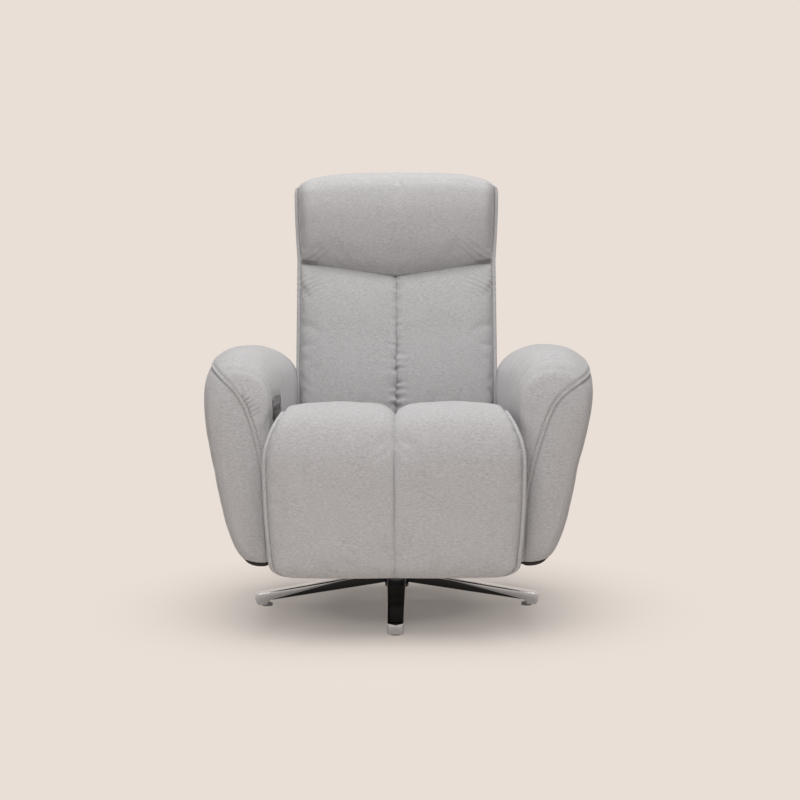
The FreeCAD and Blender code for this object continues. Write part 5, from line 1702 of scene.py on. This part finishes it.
@dataclass
class Base:
    """Star base: four cast legs with polished shells, and the black web that closes each from below."""

    reach: float = 324.0
    tip_start: float = 313.0
    tip_half_width: float = 17.5
    root_half_width: float = 21.5
    root_top: float = 84.0
    tip_top: float = 28.0
    root_side: float = 3.6
    foot_side: float = 19.5
    wedge_start: float = 125.0
    foot_start: float = 295.0
    foot_blend: float = 12.0
    foot_end: float = 315.0
    foot_bottom: float = 4.0
    web_root: float = 60.0
    web_tip: float = 9.0
    web_start: float = 22.0
    web_end: float = 284.0
    web_half_width: float = 17.0
    edge: float = 3.2
    hub_radius: float = 28.0
    hub_top: float = 88.0
    hub_bottom: float = 44.0
    collar: float = 13.0
    bevel: float = 1.6
    legs: int = 4
    places: tuple[float, float] = (4.0, 270.0)
    place_counts: tuple[int, int, int] = (20, 14, 12)
    tip_drop: float = 3.0
    web_rows: int = 24
    web_taper: float = 2.5
    web_draft: float = 1.0
    web_tuck: float = 3.0

    def top(self, r: float) -> float:
        """Finds the height of a leg's top.

        Args:
            r: Distance from the axis.

        Returns:
            The height.
        """
        return mix(self.root_top, self.tip_top, r / self.reach)

    def shell_bottom(self, r: float) -> float:
        """Finds the shell's lower edge: a wedge that deepens outward and rounds down to the foot.

        Args:
            r: Distance from the axis.

        Returns:
            Its height.
        """
        deeper = max(0.0, (r - self.wedge_start) / (self.foot_start - self.wedge_start))
        low = self.top(r) - mix(self.root_side, self.foot_side, min(1.0, deeper))
        drop = min(1.0, max(0.0, (r - self.foot_start + self.foot_blend) / self.foot_blend))
        rise = max(0.0, (r - self.foot_end) / (self.reach - self.foot_end))
        foot = mix(self.foot_bottom, self.tip_top - 9, rise ** 2)
        return mix(low, foot, 1 - math.sqrt(max(0.0, 1 - drop ** 2)))

    def half_width(self, r: float) -> float:
        """Finds the half width of a leg in plan, rounded at its tip.

        Args:
            r: Distance from the axis.

        Returns:
            The half width.
        """
        wide = mix(self.root_half_width, self.tip_half_width, min(1.0, r / self.tip_start))
        over = max(0.0, (r - self.tip_start) / (self.reach - self.tip_start))
        return wide * max(0.03, 1 - over ** 2.6) ** 0.5

    @staticmethod
    def section(r: float, corners: list[tuple[float, float]], radius: float) -> np.ndarray:
        """Draws one section of a leg.

        Args:
            r: Distance from the axis.
            corners: Its corners, across the leg and up.
            radius: Radius of its rounded edges.

        Returns:
            Points in millimetres.
        """
        outline = curved(corners, radius)
        return np.stack([np.full(len(outline), r), outline[:, 0], outline[:, 1]], axis=1)

    def leg(self) -> np.ndarray:
        """Draws one leg's shell along +X.

        Returns:
            Points in millimetres, as rings.
        """
        (first, foot), (sparse, dense, tip) = self.places, self.place_counts
        places = np.concatenate([np.linspace(first, foot, sparse, endpoint=False),
                                 np.linspace(foot, self.tip_start, dense, endpoint=False),
                                 self.reach - (self.reach - self.tip_start) * np.linspace(1, 0, tip) ** 2])
        rows = []
        for r in places:
            half, top, bottom = self.half_width(r), self.top(r), self.shell_bottom(r)
            top -= self.tip_drop * max(0.0, (r - self.tip_start) / (self.reach - self.tip_start)) ** 3
            rows.append(self.section(r, [(-half, bottom), (half, bottom), (half, top), (-half, top)],
                                     min(self.edge, half * 0.6)))
        return np.array(rows)

    def web(self) -> np.ndarray:
        """Draws one leg's web along +X.

        Returns:
            Points in millimetres, as rings.
        """
        rows = []
        for r in np.linspace(self.web_start, self.web_end, self.web_rows):
            half = self.web_half_width - self.web_taper * r / self.reach
            wide = half + self.web_draft
            low = mix(self.web_root, self.web_tip, r / self.reach)
            high = max(low + 1.0, self.shell_bottom(r) + self.web_tuck)
            rows.append(self.section(r, [(-half, low), (half, low), (wide, high), (-wide, high)], self.bevel))
        return np.array(rows)

    def turned(self, profile: list[tuple[float, float]], steps: int = 64) -> np.ndarray:
        """Draws a turned form.

        Args:
            profile: Radii and heights, from below.
            steps: Points round each ring.

        Returns:
            Points in millimetres, as rings.
        """
        angle = np.arange(steps) / steps * math.tau
        return np.array([np.stack([r * np.cos(angle), r * np.sin(angle), np.full(steps, z)], axis=1)
                         for r, z in profile])

    def star(self, name: str, rows: np.ndarray, extra: np.ndarray) -> bpy.types.Object:
        """Joins turned copies of a leg's part and a turned form into one piece.

        Args:
            name: Name of the piece.
            rows: Rings of the leg's part.
            extra: Rings of the turned form.

        Returns:
            The piece.
        """
        parts = [shell_mesh(name, extra)]
        for k in range(self.legs):
            part = shell_mesh(name, rows)
            part.data.transform(Matrix.Rotation(math.tau * k / self.legs, 4, "Z"))
            parts.append(part)
        tool = bmesh.new()
        for part in parts:
            tool.from_mesh(part.data)
        tool.to_mesh(parts[0].data)
        tool.free()
        for part in parts[1:]:
            bpy.data.objects.remove(part)
        parts[0].data.shade_smooth()
        return parts[0]

    def build(self) -> list[bpy.types.Object]:
        """Makes the polished star and its black webs.

        Returns:
            The two pieces.
        """
        radius, bottom, top, bevel = self.hub_radius, self.hub_bottom, self.hub_top, self.bevel
        hub = self.turned([(radius - bevel, bottom + self.collar), (radius, bottom + self.collar + bevel),
                           (radius, top - bevel), (radius - bevel, top)])
        collar = self.turned([(radius - 3, bottom), (radius - 1, bottom + bevel), (radius - 0.4, bottom + self.collar)])
        star = self.star("star_casting", self.leg(), hub)
        webs = self.star("star_webs", self.web(), collar)
        for piece, node, finish, slot in ((star, "base_star", CAST_ALUMINIUM, "polished_aluminium"),
                                          (webs, "leg_webs", GLOSS_NYLON, "black_plastic")):
            finish.dress(piece)
            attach(piece, "base")
            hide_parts(node)
        return [star, webs]


@dataclass
class ControlTrim:
    """Smoked chrome trim of the control plate: a rim round the plate and a ring round each button."""

    y: float = PLATE_Y
    z: float = PLATE_Z
    length: float = 96.0
    height: float = 44.0
    corner: float = 8.0
    proud: float = 3.0
    margin: float = 0.4
    rim: float = 1.1
    pitch: float = 20.0
    buttons: int = 4
    button_radius: float = 7.6
    ring: float = 0.7

    def place(self) -> Matrix:
        """Finds the plate's own frame: X along it to the rear, Y up, Z towards the seat.

        Returns:
            The frame, in metres.
        """
        wall = [-inner_wall(y) for y in (self.y - self.length / 2, self.y + self.length / 2)]
        along = Vector((wall[1] - wall[0], self.length, 0)).normalized()
        up = Vector((0, 0, 1))
        turn = Matrix((along, up, along.cross(up))).transposed().to_4x4()
        return Matrix.Translation(Vector(((wall[0] + wall[1]) / 2, self.y, self.z)) * MM) @ turn

    def band(self, centre: np.ndarray, girth: float, height: float) -> np.ndarray:
        """Draws a round band along a closed line.

        Args:
            centre: Points of the line on the plate.
            girth: Radius of the band.
            height: Height of its middle above the plate's foot.

        Returns:
            Points in millimetres, as rings.
        """
        ahead = np.roll(centre, -1, 0) - np.roll(centre, 1, 0)
        aside = np.stack([ahead[:, 1], -ahead[:, 0]], axis=1) / np.linalg.norm(ahead, axis=1, keepdims=True)
        angle = np.arange(8) / 8 * math.tau
        rows = []
        for a in angle:
            flat = centre + aside * girth * math.cos(a)
            rows.append(np.concatenate([flat, np.full((len(flat), 1), height + girth * math.sin(a))], axis=1))
        return np.array(rows)

    def build(self) -> list[bpy.types.Object]:
        """Makes the trim as one piece.

        Returns:
            The piece, in a list.
        """
        long, high = self.length / 2 - self.margin, self.height / 2 - self.margin
        # The curve through a corner starts half as far again from it as an arc of that radius.
        rim = curved([(-long, -high), (long, -high), (long, high), (-long, high)], self.corner * 1.5, 8)
        bands = [self.band(rim, self.rim, self.proud - 0.3)]
        angle = np.arange(40) / 40 * math.tau
        for k in range(self.buttons):
            middle = (k - (self.buttons - 1) / 2) * self.pitch
            circle = np.stack([middle + self.button_radius * np.cos(angle), self.button_radius * np.sin(angle)], axis=1)
            bands.append(self.band(circle, self.ring, self.proud))
        tool = bmesh.new()
        for band in bands:
            rings, count = band.shape[:2]
            verts = [[tool.verts.new(Vector(p) * MM) for p in row] for row in band]
            for i in range(rings):
                for j in range(count):
                    n, m = (i + 1) % rings, (j + 1) % count
                    tool.faces.new((verts[i][j], verts[i][m], verts[n][m], verts[n][j]))
        bmesh.ops.recalc_face_normals(tool, faces=tool.faces)
        mesh = bpy.data.meshes.new("control_trim")
        tool.to_mesh(mesh)
        tool.free()
        mesh.transform(self.place())
        mesh.shade_smooth()
        piece = placed("control_trim", mesh)
        SMOKED_CHROME.dress(piece)
        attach(piece, "chassis")
        return [piece]


def dress_frame() -> None:
    """Gives every node of the frame its finish."""
    for finish, names in NODE_FINISHES.items():
        for name in names:
            finish.dress(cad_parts[name])


# Studio


@dataclass(frozen=True)
class AreaLamp:
    """Square area lamp, with its place in metres and its power in watts."""

    name: str
    place: tuple[float, float, float]
    size: float
    power: float
    in_mirrors: bool = False


@dataclass
class Studio:
    """Pale floor and backdrop, soft light and the camera."""

    backdrop: str = "e9dfd7"
    floor: str = "e4dad2"
    distance: float = 3.300
    height: float = 0.694
    focal_pixels: float = 1461.0
    image: float = 800.0
    horizon: float = 300.5
    centre: float = 396.0
    azimuth: float = 0.6
    roll: float = 0.25
    dome: float = 0.065
    floor_half_size: float = 9.0
    fade: tuple[float, float, float, float] = (0.15, 0.75, 0.2, 1.0)
    aim: tuple[float, float, float] = (0.0, 0.0, 0.45)
    lamps: tuple[AreaLamp, ...] = (
        AreaLamp("front_softbox", (0.0, -1.3, 3.3), 3.0, 92.0, True),
        AreaLamp("rear_softbox", (0.0, 0.8, 3.3), 2.4, 54.0, True),
        AreaLamp("front_fill", (-0.4, -4.2, 1.6), 2.0, 16.0),
        AreaLamp("low_fill", (-0.4, -2.4, 0.15), 1.2, 14.5),
        AreaLamp("side_fill", (3.2, -1.5, 1.2), 1.6, 6.0))

    def camera(self) -> None:
        """Camera at the viewing angle of the photograph, level with the top of the arms."""
        data = bpy.data.cameras.new("camera")
        data.sensor_width = 36.0
        data.lens = self.focal_pixels / self.image * data.sensor_width
        camera = placed("camera", data)
        turn = math.radians(self.azimuth)
        camera.location = (self.distance * math.sin(turn), -self.distance * math.cos(turn), self.height)
        pitch = math.atan((self.image / 2 - self.horizon) / self.focal_pixels)
        yaw = turn - math.atan((self.image / 2 - self.centre) / self.focal_pixels)
        aim = Matrix.Rotation(yaw, 4, "Z") @ Matrix.Rotation(math.pi / 2 - pitch, 4, "X")
        camera.rotation_mode = "QUATERNION"
        camera.rotation_quaternion = (aim @ Matrix.Rotation(math.radians(-self.roll), 4, "Z")).to_quaternion()
        bpy.context.scene.camera = camera

    def seen(self, tree: bpy.types.NodeTree) -> bpy.types.NodeSocket:
        """Tells camera, glossy and transmission rays from those that light.

        Args:
            tree: The node tree.

        Returns:
            The socket of a value that is 1 for rays that show the background.
        """
        path = add_node(tree, "ShaderNodeLightPath")
        glossy = add_node(tree, "ShaderNodeMath", {"operation": "MAXIMUM"},
                          {0: path.outputs["Is Camera Ray"], 1: path.outputs["Is Glossy Ray"]})
        return add_node(tree, "ShaderNodeMath", {"operation": "MAXIMUM"},
                        {0: glossy.outputs[0], 1: path.outputs["Is Transmission Ray"]}).outputs[0]

    def lights(self) -> None:
        """Hangs a weak even dome, two overhead softboxes and three fills that metal doesn't mirror."""
        world = bpy.data.worlds.new("studio")
        world.use_nodes = True
        tree = world.node_tree
        tree.nodes.clear()
        dome = add_node(tree, "ShaderNodeBackground", {"Color": linear("ffffff"), "Strength": self.dome})
        wall = add_node(tree, "ShaderNodeBackground", {"Color": linear(self.backdrop), "Strength": 1.0})
        both = add_node(tree, "ShaderNodeMixShader", {}, {0: self.seen(tree), 1: dome.outputs[0], 2: wall.outputs[0]})
        add_node(tree, "ShaderNodeOutputWorld", {}, {"Surface": both.outputs[0]})
        bpy.context.scene.world = world
        for lamp in self.lamps:
            data = bpy.data.lights.new(lamp.name, "AREA")
            data.shape = "SQUARE"
            data.size = lamp.size
            data.energy = lamp.power
            made = placed(lamp.name, data)
            made.visible_glossy = lamp.in_mirrors
            made.location = lamp.place
            made.rotation_mode = "QUATERNION"
            made.rotation_quaternion = (Vector(self.aim) - Vector(lamp.place)).to_track_quat("-Z", "Y")

    def ground(self) -> None:
        """Lays a floor that takes the chair's shadow and fades into the backdrop."""
        tool = bmesh.new()
        bmesh.ops.create_grid(tool, x_segments=2, y_segments=2, size=self.floor_half_size)
        mesh = bpy.data.meshes.new("floor")
        tool.to_mesh(mesh)
        tool.free()
        floor = placed("floor", mesh)
        paper = bpy.data.materials.new("studio_paper")
        paper.use_nodes = True
        tree = paper.node_tree
        tree.nodes.clear()
        place = add_node(tree, "ShaderNodeTexCoord")
        reach = add_node(tree, "ShaderNodeVectorMath", {"operation": "LENGTH"}, {0: place.outputs["Object"]})
        far = spread(tree, reach.outputs["Value"], *self.fade)
        lit = add_node(tree, "ShaderNodeBsdfDiffuse", {"Color": linear(self.floor)})
        glow = add_node(tree, "ShaderNodeEmission", {"Color": linear(self.backdrop), "Strength": 1.0})
        share = add_node(tree, "ShaderNodeMath", {"operation": "MULTIPLY"}, {0: far, 1: self.seen(tree)})
        both = add_node(tree, "ShaderNodeMixShader", {}, {0: share.outputs[0], 1: lit.outputs[0], 2: glow.outputs[0]})
        add_node(tree, "ShaderNodeOutputMaterial", {}, {"Surface": both.outputs[0]})
        mesh.materials.append(paper)

    def build(self) -> None:
        """Sets the colour management, camera, lights and floor."""
        bpy.context.scene.view_settings.view_transform = "Standard"
        self.camera()
        self.lights()
        self.ground()


def main() -> None:
    """Builds the studio and the chair's pieces in order."""
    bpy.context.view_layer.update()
    Studio().build()
    dress_frame()
    pieces = Base().build() + ChaisePad().build() + Back().build() + ControlTrim().build()
    for side in Side:
        pieces += Arm(side).build()
    for piece in pieces:
        log.info("%s: %d faces", piece.name, len(piece.data.polygons))


if __name__ == "__main__":
    logging.basicConfig(level=logging.INFO, format="%(message)s")
    main()
